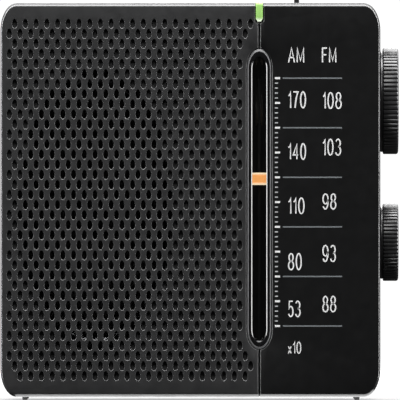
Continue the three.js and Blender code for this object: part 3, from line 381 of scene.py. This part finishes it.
def inset(outline, distances):
    """A closed anticlockwise outline with each edge moved inwards by its own distance."""
    parallel = 0.02  # the sine of the angle below which two edges count as one straight line
    points = np.array(outline, float)
    edges = np.roll(points, -1, axis=0) - points
    normals = np.stack([-edges[:, 1], edges[:, 0]], axis=1)
    normals /= np.linalg.norm(normals, axis=1)[:, None]
    moved = []
    for i in range(len(points)):
        n0, n1 = normals[i - 1], normals[i]
        d0, d1 = distances[i - 1], distances[i]
        det = n0[0] * n1[1] - n0[1] * n1[0]
        if abs(det) < parallel:
            move = (n0 * d0 + n1 * d1) / 2
        else:
            move = np.array([d0 * n1[1] - d1 * n0[1], n0[0] * d1 - n1[0] * d0]) / det
        moved.append(points[i] + move)
    return [tuple(p) for p in moved]


def triangulate(loops, outline):
    """Triangles of the area inside outline and outside the loops, as triples of indices.
    The outline's points come first, then those of each loop."""
    flat, edges, owner = [], [], []
    for k, loop in enumerate([outline, *loops]):
        start = len(flat)
        flat.extend(Vector(p) for p in loop)
        owner.extend([k] * len(loop))
        edges.extend((start + i, start + (i + 1) % len(loop)) for i in range(len(loop)))
    out, _, triangles, came_from, _, _ = delaunay_2d_cdt(flat, edges, [], 0, 1e-9, True)
    first = [c[0] if c else -1 for c in came_from]
    if len(out) != len(flat) or min(first) < 0:
        raise ValueError("the outlines of a cover touch each other")
    tri = np.array([[first[i] for i in t] for t in triangles])
    owners = np.array(owner)[tri]
    in_loop = (owners[:, 0] == owners[:, 1]) & (owners[:, 1] == owners[:, 2]) & (owners[:, 0] > 0)
    tri = tri[~in_loop]
    centres = np.array([tuple(p) for p in flat])[tri].mean(axis=1)
    corners = np.array(outline)
    inside = np.zeros(len(centres), bool)
    for (x0, z0), (x1, z1) in zip(corners, np.roll(corners, -1, axis=0)):
        if z0 == z1:
            continue
        crosses = (z0 > centres[:, 1]) != (z1 > centres[:, 1])
        inside ^= crosses & (centres[:, 0] < (x1 - x0) * (centres[:, 1] - z0) / (z1 - z0) + x0)
    return tri[inside]


# ---------------------------------------------------------------- the two front covers
def half_slot(side):
    """The part of the bezel's outline on one side of the seam: down on the left, up on the right."""
    edge = SEAM_LEFT if side < 0 else SEAM_RIGHT
    half, end = (BEZEL_X[1] - BEZEL_X[0]) / 2 + BEZEL_ROOM, BEZEL_END + BEZEL_ROOM
    low, high = BEZEL_Z[0] - BEZEL_ROOM, BEZEL_Z[1] + BEZEL_ROOM
    start = math.degrees(math.acos(side * (edge - SEAM) / half))
    steps = 16
    if side < 0:
        lower = arc(SEAM, low + end, half, end, 180 + start, 180, steps)
        return lower + arc(SEAM, high - end, half, end, 180, 180 - start, steps)
    upper = arc(SEAM, high - end, half, end, start, 0, steps)
    return upper + arc(SEAM, low + end, half, end, 0, -start, steps)


def cover_outline(side):
    """Anticlockwise outline of a cover seen from the front, and whether the edge after each point is
    an outer one. The others are on the seam."""
    outer, seam = True, False
    cx, cz = CORNER
    corner_steps, bend_steps = 12, 5
    notch = LIGHT_X[0] - LIGHT_ROOM if side < 0 else LIGHT_X[1] + LIGHT_ROOM
    edge = SEAM_LEFT if side < 0 else SEAM_RIGHT
    bend, bend_z = NOTCH_BEND, COLLAR_Z + NOTCH_BEND
    if side < 0:
        run = [
            (arc(LEFT + cx, BOTTOM + cz, cx, cz, 180, 270, corner_steps), outer),
            ([(edge - EDGE_FLAT, BOTTOM)], outer),
            ([(edge, BOTTOM), (edge, BOTTOM + EDGE_RISE)], seam),
            (half_slot(-1), seam),
            ([(edge, COLLAR_Z)], seam),
            (arc(notch + bend, bend_z, bend, bend, 250, 180, bend_steps), seam),
            ([(notch, TOP - EDGE_RISE)], seam),
            ([(notch, TOP)], outer),
            (arc(LEFT + cx, TOP - cz, cx, cz, 90, 180, corner_steps), outer),
        ]
    else:
        run = [
            (arc(RIGHT - cx, BOTTOM + cz, cx, cz, 270, 360, corner_steps), outer),
            (arc(RIGHT - cx, TOP - cz, cx, cz, 0, 90, corner_steps), outer),
            ([(notch + EDGE_FLAT, TOP)], outer),
            ([(notch, TOP), (notch, TOP - EDGE_RISE)], seam),
            (arc(notch - bend, bend_z, bend, bend, 0, -70, bend_steps), seam),
            ([(edge, COLLAR_Z)], seam),
            (half_slot(1), seam),
            ([(edge, BOTTOM + EDGE_RISE)], seam),
            ([(edge, BOTTOM)], outer),
        ]
    points = [p for part, _ in run for p in part]
    return points, [kind for part, kind in run for _ in part]


def edge_rings(outline, outer):
    """The moulded edge of a cover, from its side to its face, as rings of points."""
    headings = np.roll(np.array(outline), -1, axis=0) - np.array(outline)
    headings = np.abs(headings / np.linalg.norm(headings, axis=1)[:, None])
    reach = [math.hypot(h[0] * EDGE_BAND[1], h[1] * EDGE_BAND[0]) if o else SEAM_ROUND
             for o, h in zip(outer, headings)]
    fall = [max(a, b) for a, b in zip(reach, reach[-1:] + reach[:-1])]
    beside_outer = [a or b for a, b in zip(outer, outer[-1:] + outer[:-1])]
    rings = []
    for (share, depth), (seam_share, seam_depth) in zip(EDGE_PROFILE, SEAM_PROFILE):
        flat = inset(outline, [r * (share if o else seam_share) for r, o in zip(reach, outer)])
        rings.append([(x, FACE + (depth * f if b else seam_depth * SEAM_ROUND), z)
                      for (x, z), b, f in zip(flat, beside_outer, fall)])
    return rings


def hole_places():
    """Centres of the perforations: staggered rows, with the number in each row following the edge."""
    for row in range(HOLE_ROWS):
        first = LEFT + HOLE_START[row % 2]
        begin = 1 if row == HOLE_ROWS - 1 else 0
        for i in range(begin, HOLES_IN_ROW + (row in LONG_ROWS)):
            yield first + i * HOLE_PITCH[0], TOP - HOLE_TOP - row * HOLE_PITCH[1]


def before_speaker(x, z):
    return ((x - SPEAKER_X) / SPEAKER_HALF[0]) ** 2 + ((z - SPEAKER_Z) / SPEAKER_HALF[1]) ** 2 < 1


def oval(centre, half):
    return [(centre[0] + half[0] * math.cos(a), centre[1] + half[1] * math.sin(a))
            for a in turn(HOLE_SIDES)]


def sink(shell, spot, mouth):
    """One hole: a rounded chamfer and a bore, open in front of the loudspeaker and blind elsewhere.
    Returns the ring of its mouth, and the outline and ring of its far end where it is open."""
    between = tuple((a + b) / 2 for a, b in zip(HOLE_MOUTH, HOLE_BORE))
    bore = oval(spot, HOLE_BORE)
    is_open = before_speaker(*spot)
    end = COVER_BACK if is_open else FACE + HOLE_DIMPLE
    steps = [(mouth, FACE), (oval(spot, between), FACE + 0.3 * HOLE_CHAMFER),
             (bore, FACE + HOLE_CHAMFER), (bore, end)]
    rings = [shell.ring([(x, y, z) for x, z in loop]) for loop, y in steps]
    first_rim = len(shell.faces)
    shell.bridge(rings[0], rings[1])
    shell.bridge(rings[1], rings[2])
    # the chamfer takes the rim finish, a painted highlight
    shell.mark_rims(first_rim)
    shell.bridge(rings[2], rings[3])
    if is_open:
        return rings[0], (bore, rings[3])
    shell.faces.append(tuple(rings[3]))
    return rings[0], None


def build_cover(name, side, cad, slot, holes=()):
    """A front cover with its moulded edge and its holes: side is -1 on the left and 1 on the right."""
    outline, outer = cover_outline(side)
    shell = Shell()
    rings = [[(x, COVER_BACK, z) for x, z in outline], *edge_rings(outline, outer)]
    front = list(shell.loft(rings, caps=(False, False))[-1])
    back = list(range(len(outline)))
    # one step of the outer edges takes the rim finish, a painted highlight
    shell.rims = [HIGHLIGHT_PAINT_STEP * len(outline) + i for i, o in enumerate(outer) if o]
    mouths = [oval(spot, HOLE_MOUTH) for spot in holes]
    front_triangles = triangulate(mouths, [(x, z) for x, _, z in rings[-1]])
    far_ends = []
    for spot, mouth in zip(holes, mouths):
        ring, far_end = sink(shell, spot, mouth)
        front.extend(ring)
        if far_end:
            far_ends.append(far_end[0])
            back.extend(far_end[1])
    shell.faces.extend(tuple(front[i] for i in t) for t in front_triangles)
    shell.faces.extend(tuple(back[i] for i in reversed(t)) for t in triangulate(far_ends, outline))
    shell.piece(name, slot, "case", cad, rim_finish=MATERIALS["rim"])


build_cover("grille_face", -1, "grille_cover", "grille_plastic", list(hole_places()))
build_cover("dial_face", 1, "dial_cover", "dial_plastic")


# ---------------------------------------------------------------- window, pointer and light bar
def build_bezel():
    """The frame of the scale window: a flat ring with a chamfer outside, painted light grey as a painted
    highlight, and a well inside.
    """
    profile = [  # share of the way from the outer to the inner outline, depth behind the face
        (0, COVER_BACK - FACE), (0, 0.3 * MM), (0.32, 0.02 * MM), (0.37, 0), (0.92, 0), (0.97, 0.02 * MM),
        (1.16, 0.24 * MM), (1.2, 0.6 * MM), (1.2, COVER_BACK - FACE),
    ]
    outer = pill((BEZEL_X[1] - BEZEL_X[0]) / 2, *BEZEL_Z, BEZEL_END)
    inner = pill(WINDOW_HALF, *WINDOW_Z, WINDOW_END)
    rings = [[(a[0] + share * (b[0] - a[0]), FACE + depth, a[1] + share * (b[1] - a[1]))
              for a, b in zip(outer, inner)] for share, depth in profile]
    shell = Shell()
    shell.loft(rings, caps=(False, False), round_again=True)
    shell.rims = range(len(outer), 2 * len(outer))  # the second step, which is the outer chamfer
    # the outer chamfer's light grey is a painted highlight, not the ring's own colour
    highlight_paint = moulded("satin_edge", (0.2, 0.2, 0.205), 0.3, 0.2 * MM, 0.001 * MM, 0.08, 0.03)
    shell.piece("window_frame", "bezel_plastic", "case", "window_bezel", smooth=20, rim_finish=highlight_paint)


def build_pointer():
    """The pointer bar: a rib along each edge and a low ridge between them."""
    steps = [  # depth behind the front and height over the lower edge, in millimetres
        (0.5, 0), (0.12, 0.05), (0, 0.3), (0.05, 0.62), (0.22, 0.8), (0.22, 1.6), (0.1, 2.0),
        (0.22, 2.4), (0.22, 3.2), (0.05, 3.38), (0, 3.7), (0.12, 3.95), (0.5, 4.0),
    ]
    end = 0.45 * MM
    low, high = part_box("pointer")
    profile = [(low.y + d * MM, low.z + h * MM) for d, h in steps]
    profile += [(high.y, high.z), (high.y, low.z)]
    shell = Shell()
    shell.loft([[(x, y, z) for y, z in reversed(profile)]
                for x in (low.x, low.x + end, high.x - end, high.x)])
    shell.piece("pointer_bar", "pointer_plastic", "pointer_slider", "pointer",
                material=pointer_plastic(low.z, high.z))


def build_light():
    """The green light bar: down the front with a narrow end, over the edge and back along the top."""
    low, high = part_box("light_guide")
    cx, half = (low.x + high.x) / 2, (high.x - low.x) / 2
    thick, bend, inner_bend, soft = 1.6 * MM, 1.3 * MM, 0.3 * MM, 0.22 * MM
    bend_steps, narrow = 8, 0.45
    front, top = FACE - 0.02 * MM, high.z + 0.3 * MM
    outer = [(front, low.z + 0.3 * MM), (front, low.z + 1.2 * MM), (front, top - bend)]
    inner = [(front + thick, z) for _, z in outer]
    for a in np.linspace(0, math.pi / 2, bend_steps + 1)[1:]:
        outer.append((front + bend - bend * math.cos(a), top - bend + bend * math.sin(a)))
        inner.append((front + thick + inner_bend * (1 - math.cos(a)),
                      top - thick - inner_bend * (1 - math.sin(a))))
    outer.append((high.y, top))
    inner.append((high.y, top - thick))
    rings = []
    for k, ((y, z), (iy, iz)) in enumerate(zip(outer, inner)):
        width = half if k else half * narrow
        length = math.hypot(iy - y, iz - z)
        ny, nz = (iy - y) / length, (iz - z) / length
        side = (y + ny * soft, z + nz * soft)
        shoulder = (y + ny * soft * 0.3, z + nz * soft * 0.3)
        rings.append([
            (cx - width, iy, iz), (cx - width, *side), (cx - width + soft * 0.3, *shoulder),
            (cx - width + soft, y, z), (cx + width - soft, y, z),
            (cx + width - soft * 0.3, *shoulder), (cx + width, *side), (cx + width, iy, iz),
        ])
    shell = Shell()
    shell.loft(rings)
    # the nearly white colour at the bar's lower end is a painted highlight
    green = glowing("green_light", (0.95, 1.0, 0.85), (0.27, 0.5, 0.135),
                    low.z + 0.2 * MM, low.z + 1.7 * MM, 0.3, 0.3)
    shell.piece("light_bar", "green_light", "case", "light_guide", material=green)


build_bezel()
LENS = clear_acrylic()
build_pointer()
build_light()

# ---------------------------------------------------------------- the printed dial
PRINT_FRONT, PRINT_BACK = FRONT + 0.005 * MM, FACE + 0.02 * MM
SCALE_TOP, MAJOR_PITCH, MINOR_STEPS, MAJORS = 106.2 * MM, 8.18 * MM, 5, 11
TICK_X, RULE_X = 24.8 * MM, (27.4 * MM, 46.95 * MM)
MAJOR_TICK, MINOR_TICK = (1.7 * MM, 0.66 * MM), (1.0 * MM, 0.4 * MM)  # length, thickness
RULE_THICK = 0.45 * MM
WHITE_INK = printed("white_ink", (0.87, 0.87, 0.87))
GREY_INK = printed("grey_ink", (0.17, 0.185, 0.195))
SILVER_INK = printed("silver_ink", (0.5, 0.51, 0.52))


def bars(name, rows, ink):
    """Flat printed bars: (left, right, middle height, thickness)."""
    shell = Shell()
    for x0, x1, z, thick in rows:
        shell.box((x0, PRINT_FRONT, z - thick / 2), (x1, PRINT_BACK, z + thick / 2))
    shell.piece(name, "dial_plastic", "case", material=ink)


def print_scale():
    """A column of long and short ticks, and a rule at every second long one."""
    (long, thick), (short, thin) = MAJOR_TICK, MINOR_TICK
    majors = range(MAJORS)
    minors = [k for k in range((MAJORS - 1) * MINOR_STEPS) if k % MINOR_STEPS]
    bars("dial_major_ticks",
         [(TICK_X, TICK_X + long, SCALE_TOP - k * MAJOR_PITCH, thick) for k in majors], WHITE_INK)
    bars("dial_minor_ticks",
         [(TICK_X, TICK_X + short, SCALE_TOP - k * MAJOR_PITCH / MINOR_STEPS, thin) for k in minors],
         SILVER_INK)
    bars("dial_rules",
         [(*RULE_X, SCALE_TOP - k * MAJOR_PITCH, RULE_THICK) for k in majors[::2]], GREY_INK)


print_scale()

GLYPHS = {  # each sign: its width as a share of its height, and its strokes in a box one high
    "0": (0.40, [(arc(0.20, 0.5, 0.20, 0.5, 0, 360, 32)[:-1], True)]),
    "1": (0.17, [([(0.0, 0.74), (0.10, 0.82), (0.17, 1.0), (0.17, 0.0)], False)]),
    "3": (0.38, [(arc(0.185, 0.755, 0.175, 0.245, 155, -70, 16)
                  + arc(0.185, 0.27, 0.195, 0.27, 72, -160, 18), False)]),
    "4": (0.42, [([(0.31, 0.0), (0.31, 0.97), (0.0, 0.28), (0.42, 0.28)], False)]),
    "5": (0.38, [([(0.36, 1.0), (0.07, 1.0), (0.02, 0.50)]
                  + arc(0.185, 0.33, 0.195, 0.33, 140, -155, 18), False)]),
    "7": (0.38, [([(0.0, 1.0), (0.38, 1.0), (0.24, 0.62), (0.14, 0.0)], False)]),
    "8": (0.40, [(arc(0.20, 0.765, 0.165, 0.235, 0, 360, 26)[:-1], True),
                 (arc(0.20, 0.265, 0.20, 0.265, 0, 360, 28)[:-1], True)]),
    "9": (0.40, [(arc(0.20, 0.67, 0.20, 0.33, 0, 360, 28)[:-1], True),
                 (arc(0.165, 0.5, 0.235, 0.5, 15, -55, 8)
                  + arc(0.18, 0.25, 0.16, 0.25, -55, -165, 8), False)]),
    "A": (0.46, [([(0.0, 0.0), (0.23, 1.0), (0.46, 0.0)], False), ([(0.08, 0.34), (0.38, 0.34)], False)]),
    "F": (0.34, [([(0.0, 0.0), (0.0, 1.0), (0.34, 1.0)], False), ([(0.0, 0.53), (0.30, 0.53)], False)]),
    "M": (0.50, [([(0.0, 0.0), (0.0, 1.0), (0.25, 0.12), (0.50, 1.0), (0.50, 0.0)], False)]),
    "x": (0.27, [([(0.0, 0.0), (0.27, 0.62)], False), ([(0.0, 0.62), (0.27, 0.0)], False)]),
}
SIGN_GAP = 0.115  # between two signs, as a share of their height
AM_X, FM_X = 29.1, 40.45  # where the two columns start
SCALE_NUMBERS = [  # text, left, lower edge, upper edge and width in millimetres
    ("AM", AM_X, 111.2, 116.35, 5.4), ("FM", 40.3, 111.2, 116.35, 4.8),
    ("170", AM_X, 96.2, 101.9, 6.0), ("140", AM_X, 79.2, 84.8, 6.0), ("110", AM_X, 61.3, 66.85, 5.5),
    ("80", AM_X, 42.8, 48.5, 4.6), ("53", AM_X, 27.3, 32.8, 4.2), ("x10", AM_X, 15.2, 19.3, 4.4),
    ("108", FM_X, 96.0, 101.6, 6.4), ("103", FM_X, 80.6, 86.25, 6.2), ("98", FM_X, 62.8, 68.2, 4.65),
    ("93", FM_X, 45.5, 51.2, 4.5), ("88", FM_X, 28.9, 34.4, 4.6),
]
WEIGHT, SMALL_WEIGHT = 0.44 * MM, 0.36 * MM


def stroke(shell, points, width, closed):
    """One flat printed stroke of even width."""
    line = np.array(points, float)
    ahead = np.roll(line, -1, axis=0) - line
    behind = line - np.roll(line, 1, axis=0)
    if not closed:
        ahead[-1], behind[0] = behind[-1], ahead[0]
    ahead /= np.linalg.norm(ahead, axis=1)[:, None]
    behind /= np.linalg.norm(behind, axis=1)[:, None]
    rings = []
    for p, a, b in zip(line, ahead, behind):
        across = np.array([-a[1], a[0]])
        mean = np.array([-a[1] - b[1], a[0] + b[0]])
        size = np.linalg.norm(mean)
        mean = mean / size if size > 1e-6 else across
        reach = width / 2 / max(0.5, mean @ across)  # a sharp corner is cut off at twice the width
        left, right = p + mean * reach, p - mean * reach
        rings.append([(left[0], PRINT_FRONT, left[1]), (right[0], PRINT_FRONT, right[1]),
                      (right[0], PRINT_BACK, right[1]), (left[0], PRINT_BACK, left[1])])
    shell.loft(rings, caps=(not closed, not closed), round_again=closed)


def write(shell, text, left, low, high, width, weight):
    """Signs between low and high, fitted to a given overall width."""
    height = high - low - weight
    natural = sum(GLYPHS[c][0] for c in text) + SIGN_GAP * (len(text) - 1)
    squeeze = (width - weight * len(text)) / (natural * height)
    x = left + weight / 2
    for sign in text:
        share, strokes = GLYPHS[sign]
        for points, closed in strokes:
            placed = [(x + u * height * squeeze, low + weight / 2 + v * height) for u, v in points]
            stroke(shell, placed, weight, closed)
        x += (share + SIGN_GAP) * height * squeeze + weight


def print_numerals():
    """The names of the bands and the numbers of the scale."""
    shell = Shell()
    for text, left, low, high, width in SCALE_NUMBERS:
        weight = SMALL_WEIGHT if text == "x10" else WEIGHT
        write(shell, text, left * MM, low * MM, high * MM, width * MM, weight)
    shell.piece("dial_numerals", "dial_plastic", "case", material=WHITE_INK)


print_numerals()


# ---------------------------------------------------------------- knobs
def build_knob(name, cad, body, ribs):
    """A ribbed wheel on a plain collar, with a dished face. Its axis runs along X."""
    points_per_rib, rib_depth, collar_step = 8, 0.42 * MM, 0.72 * MM
    low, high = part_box(cad)
    radius, width = (high.z - low.z) / 2, (high.x - low.x) / MM
    y, z = (low.y + high.y) / 2, (low.z + high.z) / 2
    around = np.arange(ribs * points_per_rib) * TAU / (ribs * points_per_rib)
    wave = 0.5 - 0.5 * np.cos(around * ribs)
    groove = 1 - np.clip(wave * 1.9, 0, 1) ** 0.75  # narrow grooves between broad flat ribs
    collar = radius - collar_step
    stations = [  # millimetres along the knob, reach, how deep the ribs are
        (0.0, collar - 1.2 * MM, 0), (0.0, collar - 0.15 * MM, 0), (0.1, collar, 0), (0.62, collar, 0),
        (0.74, collar - 0.1 * MM, 0), (0.78, radius - 0.5 * MM, 0.4), (0.88, radius - 0.16 * MM, 0.8),
        (1.02, radius, 1), (width - 0.66, radius, 1), (width - 0.34, radius - 0.14 * MM, 0.8),
        (width - 0.12, radius - 0.42 * MM, 0.35), (width, radius - 0.85 * MM, 0),
        (width, radius - 1.9 * MM, 0), (width - 0.35, radius - 2.4 * MM, 0),
        (width - 0.62, radius - 2.75 * MM, 0), (width - 0.64, radius - 3.1 * MM, 0),
        (width - 0.5, radius - 3.4 * MM, 0), (width - 0.6, radius * 0.6, 0),
        (width - 0.78, radius * 0.3, 0), (width - 0.82, radius * 0.08, 0),
    ]
    rings = []
    for along, reach, depth in stations:
        x = low.x + along * MM
        rings.append([(x, y + r * math.cos(a), z + r * math.sin(a))
                      for r, a in zip(reach - rib_depth * depth * groove, around)])
    shell = Shell()
    shell.loft(rings)
    shell.piece(name, "knob_plastic", body, cad, smooth=42)


build_knob("tuning_dial_knob", "tuning_knob", "tuning", 72)
build_knob("volume_dial_knob", "volume_knob", "volume", 60)


# ---------------------------------------------------------------- battery cells
def build_cell(cad, jacket):
    """A dry cell: a printed jacket rolled over steel ends, its button at the end where the CAD has it."""
    sides, steel_steps = 40, (0, 1, 7, 8, 9, 10, 11)
    low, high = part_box(cad)
    radius = (high.z - low.z) / 2
    y, z = (low.y + high.y) / 2, (low.z + high.z) / 2
    wide = [v.co.x for v in frame["nodes"][cad].data.vertices
            if math.hypot(v.co.y - y, v.co.z - z) > 0.6 * radius]
    forward = high.x - max(wide) > min(wide) - low.x
    button = high.x - max(wide) if forward else min(wide) - low.x
    length, body = high.x - low.x, high.x - low.x - button
    stations = [  # distance from the flat end, share of the radius
        (0, 0.5), (0, 0.84), (0.2 * MM, 0.9), (0.22 * MM, 0.95), (0.6 * MM, 0.998),
        (body - 0.6 * MM, 0.998), (body - 0.22 * MM, 0.95), (body - 0.2 * MM, 0.88), (body, 0.8),
        (body, 0.4), (body + 0.1 * MM, 0.34), (length - 0.25 * MM, 0.32), (length, 0.27),
    ]
    if not forward:
        stations = [(length - along, share) for along, share in reversed(stations)]
        steel_steps = [len(stations) - 2 - k for k in steel_steps]
    rings = []
    for along, share in stations:
        rings.append([(low.x + along, y + share * radius * math.cos(a), z + share * radius * math.sin(a))
                      for a in turn(sides)])
    shell = Shell()
    shell.loft(rings)
    shell.rims = [k * sides + i for k in steel_steps for i in range(sides)]
    shell.mark_rims(len(shell.faces) - 2)  # the two end faces
    shell.piece(cad + "_cell", "cell_jacket", "case", cad, material=jacket, rim_finish=MATERIALS["steel"])


JACKET = moulded("cell_jacket", (0.03, 0.07, 0.17), 0.3, 0.8 * MM, 0.002 * MM, 0.06, 0.03)
build_cell("battery_1", JACKET)
build_cell("battery_2", JACKET)


# ---------------------------------------------------------------- carried-over CAD nodes
MATERIALS.update({
    "board": moulded("board", (0.03, 0.16, 0.06), 0.35, 2.5 * MM, 0.03 * MM, shift=0.5),
    "copper": metal("copper", (0.6, 0.24, 0.09), 0.3, (1, 0.05, 0.05), 0.3 * MM),
    "cord": moulded("cord", (0.02, 0.02, 0.02), 0.8, 0.3 * MM, 0.05 * MM, shift=0.3),
    "cell_jacket": JACKET,
    "green_light": glowing("lamp_light", (0.5, 0.8, 0.35), (0.3, 0.6, 0.15),
                           120 * MM, 130 * MM, 0.25, 0.3),
    "lens": LENS,
})
# near-black with little shine for the parts seen through the window: painted shade, whatever their own
# colour
WINDOW_PAINTED_SHADE = moulded("inside_black", (0.003, 0.003, 0.003), 0.8, 0.3 * MM, 0.01 * MM,
                       Specular_IOR_Level=0.1)
BEHIND_WINDOW = ("window_backing", "dial_chassis", "pointer_carriage")
ROUNDED = {  # moulded parts whose outer edges are broken, and by how much
    "rear_shell": 0.5 * MM, "front_shell": 0.2 * MM, "battery_door": 0.15 * MM,
    "band_switch_knob": 0.2 * MM,
}


def finish_cad(smooth=32, round_from=40):
    """Gives each carried-over node its finish, by its CAD material's name. The angles are in degrees."""
    for name, obj in frame["nodes"].items():
        obj.data.shade_smooth()
        obj.data.set_sharp_from_angle(angle=math.radians(smooth))
        given = obj.data.materials[0].name
        mat = next((MATERIALS[s] for s in MATERIALS if given.startswith(s)), None)
        # the parts seen through the window take painted shade
        if name in BEHIND_WINDOW:
            mat = WINDOW_PAINTED_SHADE
        if mat:  # the CAD pointer, which pointer_bar hides, keeps its own
            obj.data.materials.clear()
            obj.data.materials.append(mat)
        if name in ROUNDED:
            bevel = obj.modifiers.new("rounded", "BEVEL")
            bevel.width, bevel.segments, bevel.angle_limit = ROUNDED[name], 3, math.radians(round_from)
            bevel.limit_method, bevel.harden_normals, bevel.use_clamp_overlap = "ANGLE", True, True


finish_cad()


# ---------------------------------------------------------------- stage, lights and camera
MIDDLE = (0, 0, 66 * MM)


def build_stage(reach=4.0, thick=0.02, gap=0.0002, even=(0.12, 0.5)):
    """A pale floor just below the object. It glows by itself, dimmer near the object than farther out: a
    painted shadow round the object.
    """
    shell = Shell()
    shell.box((-reach, -reach, -thick), (reach, reach, -gap))
    mesh = bpy.data.meshes.new("floor")
    mesh.from_pydata(shell.points, [], shell.faces)
    floor = bpy.data.objects.new("floor", mesh)
    bpy.context.scene.collection.objects.link(floor)
    mat = new_material("floor", (0.16, 0.16, 0.16), 0.8)
    feed(mat, "Base Color",
         ramp(mat, noise(mat, 60 * MM, 3), 0.3, 0.7, (0.155, 0.155, 0.155), (0.165, 0.165, 0.165)))
    mat.node_tree.nodes["Principled BSDF"].inputs["Emission Color"].default_value = (1, 1, 1, 1)
    where = node(mat, "ShaderNodeTexCoord")
    away = node(mat, "ShaderNodeVectorMath", operation="LENGTH")
    mat.node_tree.links.new(where.outputs["Object"], away.inputs[0])
    # weaker glow near the middle: a painted shadow under and round the object
    feed(mat, "Emission Strength", ramp(mat, away.outputs["Value"], *even, 0.45, 1.0))
    mesh.materials.append(mat)
    floor.visible_glossy = floor.visible_diffuse = False


def softbox(name, spot, size, power, aim=MIDDLE):
    """A soft rectangular light that the camera doesn't see. Metres and watts."""
    light = bpy.data.lights.new(name, "AREA")
    light.shape, light.size, light.size_y, light.energy = "RECTANGLE", size[0], size[1], power
    made = bpy.data.objects.new(name, light)
    made.location = spot
    made.rotation_euler = (Vector(aim) - Vector(spot)).to_track_quat("-Z", "Y").to_euler()
    made.visible_camera = False
    bpy.context.scene.collection.objects.link(made)
    return made


def share_light(strong, gentle):
    """The strong light falls on the new pieces, and the gentle one on the CAD nodes and the floor."""
    nodes = set(frame["nodes"].values())
    front, rest = (bpy.data.collections.new(name) for name in ("lit_front", "lit_rest"))
    for obj in bpy.context.scene.objects:
        if obj.type == "MESH":
            (rest if obj in nodes or obj.name == "floor" else front).objects.link(obj)
    strong.light_linking.receiver_collection = front
    gentle.light_linking.receiver_collection = rest


def build_lights():
    overhead, wide = (0, 0.03, 0.62), (1.7, 0.32)
    share_light(softbox("overhead", overhead, wide, 25), softbox("overhead_rest", overhead, wide, 7))
    softbox("fill", (0, -0.95, 1.1), (0.9, 0.6), 15)
    under_front = (0, -0.0228, 0.0004)  # a faint strip on the floor, just behind the covers' faces
    softbox("underglow", under_front, (0.122, 0.006), 0.012, aim=(0, under_front[1], 1))
    softbox("left_side", (-0.8, -0.11, 0.2), (0.26, 0.8), 14)
    softbox("right_side", (0.8, -0.11, 0.2), (0.26, 0.8), 14)
    softbox("rear", (0, 0.9, 0.6), (0.9, 0.5), 10)


def build_world(lights=0.04, shows=1.05):
    """A white surround, which shows brighter than it lights."""
    world = bpy.data.worlds.new("studio")
    bpy.context.scene.world = world
    world.use_nodes = True
    tree = world.node_tree
    sky = tree.nodes["Background"]
    sky.inputs["Color"].default_value = (1, 1, 1, 1)
    path = tree.nodes.new("ShaderNodeLightPath")
    pick = tree.nodes.new("ShaderNodeMapRange")
    pick.inputs["To Min"].default_value = lights
    pick.inputs["To Max"].default_value = shows
    tree.links.new(path.outputs["Is Camera Ray"], pick.inputs["Value"])
    tree.links.new(pick.outputs["Result"], sky.inputs["Strength"])


def build_camera(width=132 * MM, distance=5.0, x=0.08 * MM, z=65.99 * MM):
    """A long lens far in front, as in the photograph. width is what it sees of the covers' plane."""
    camera = bpy.data.cameras.new("camera")
    camera.type = "PERSP"
    camera.sensor_width = 36
    camera.lens = camera.sensor_width * distance / width
    camera.clip_start, camera.clip_end = 0.01, 50
    made = bpy.data.objects.new("camera", camera)
    made.location = (x, FRONT - distance, z)
    made.rotation_euler = (math.pi / 2, 0, 0)
    bpy.context.scene.collection.objects.link(made)
    bpy.context.scene.camera = made


build_stage()
build_world()
build_camera()
build_lights()
bpy.context.scene.view_settings.view_transform = "Standard"
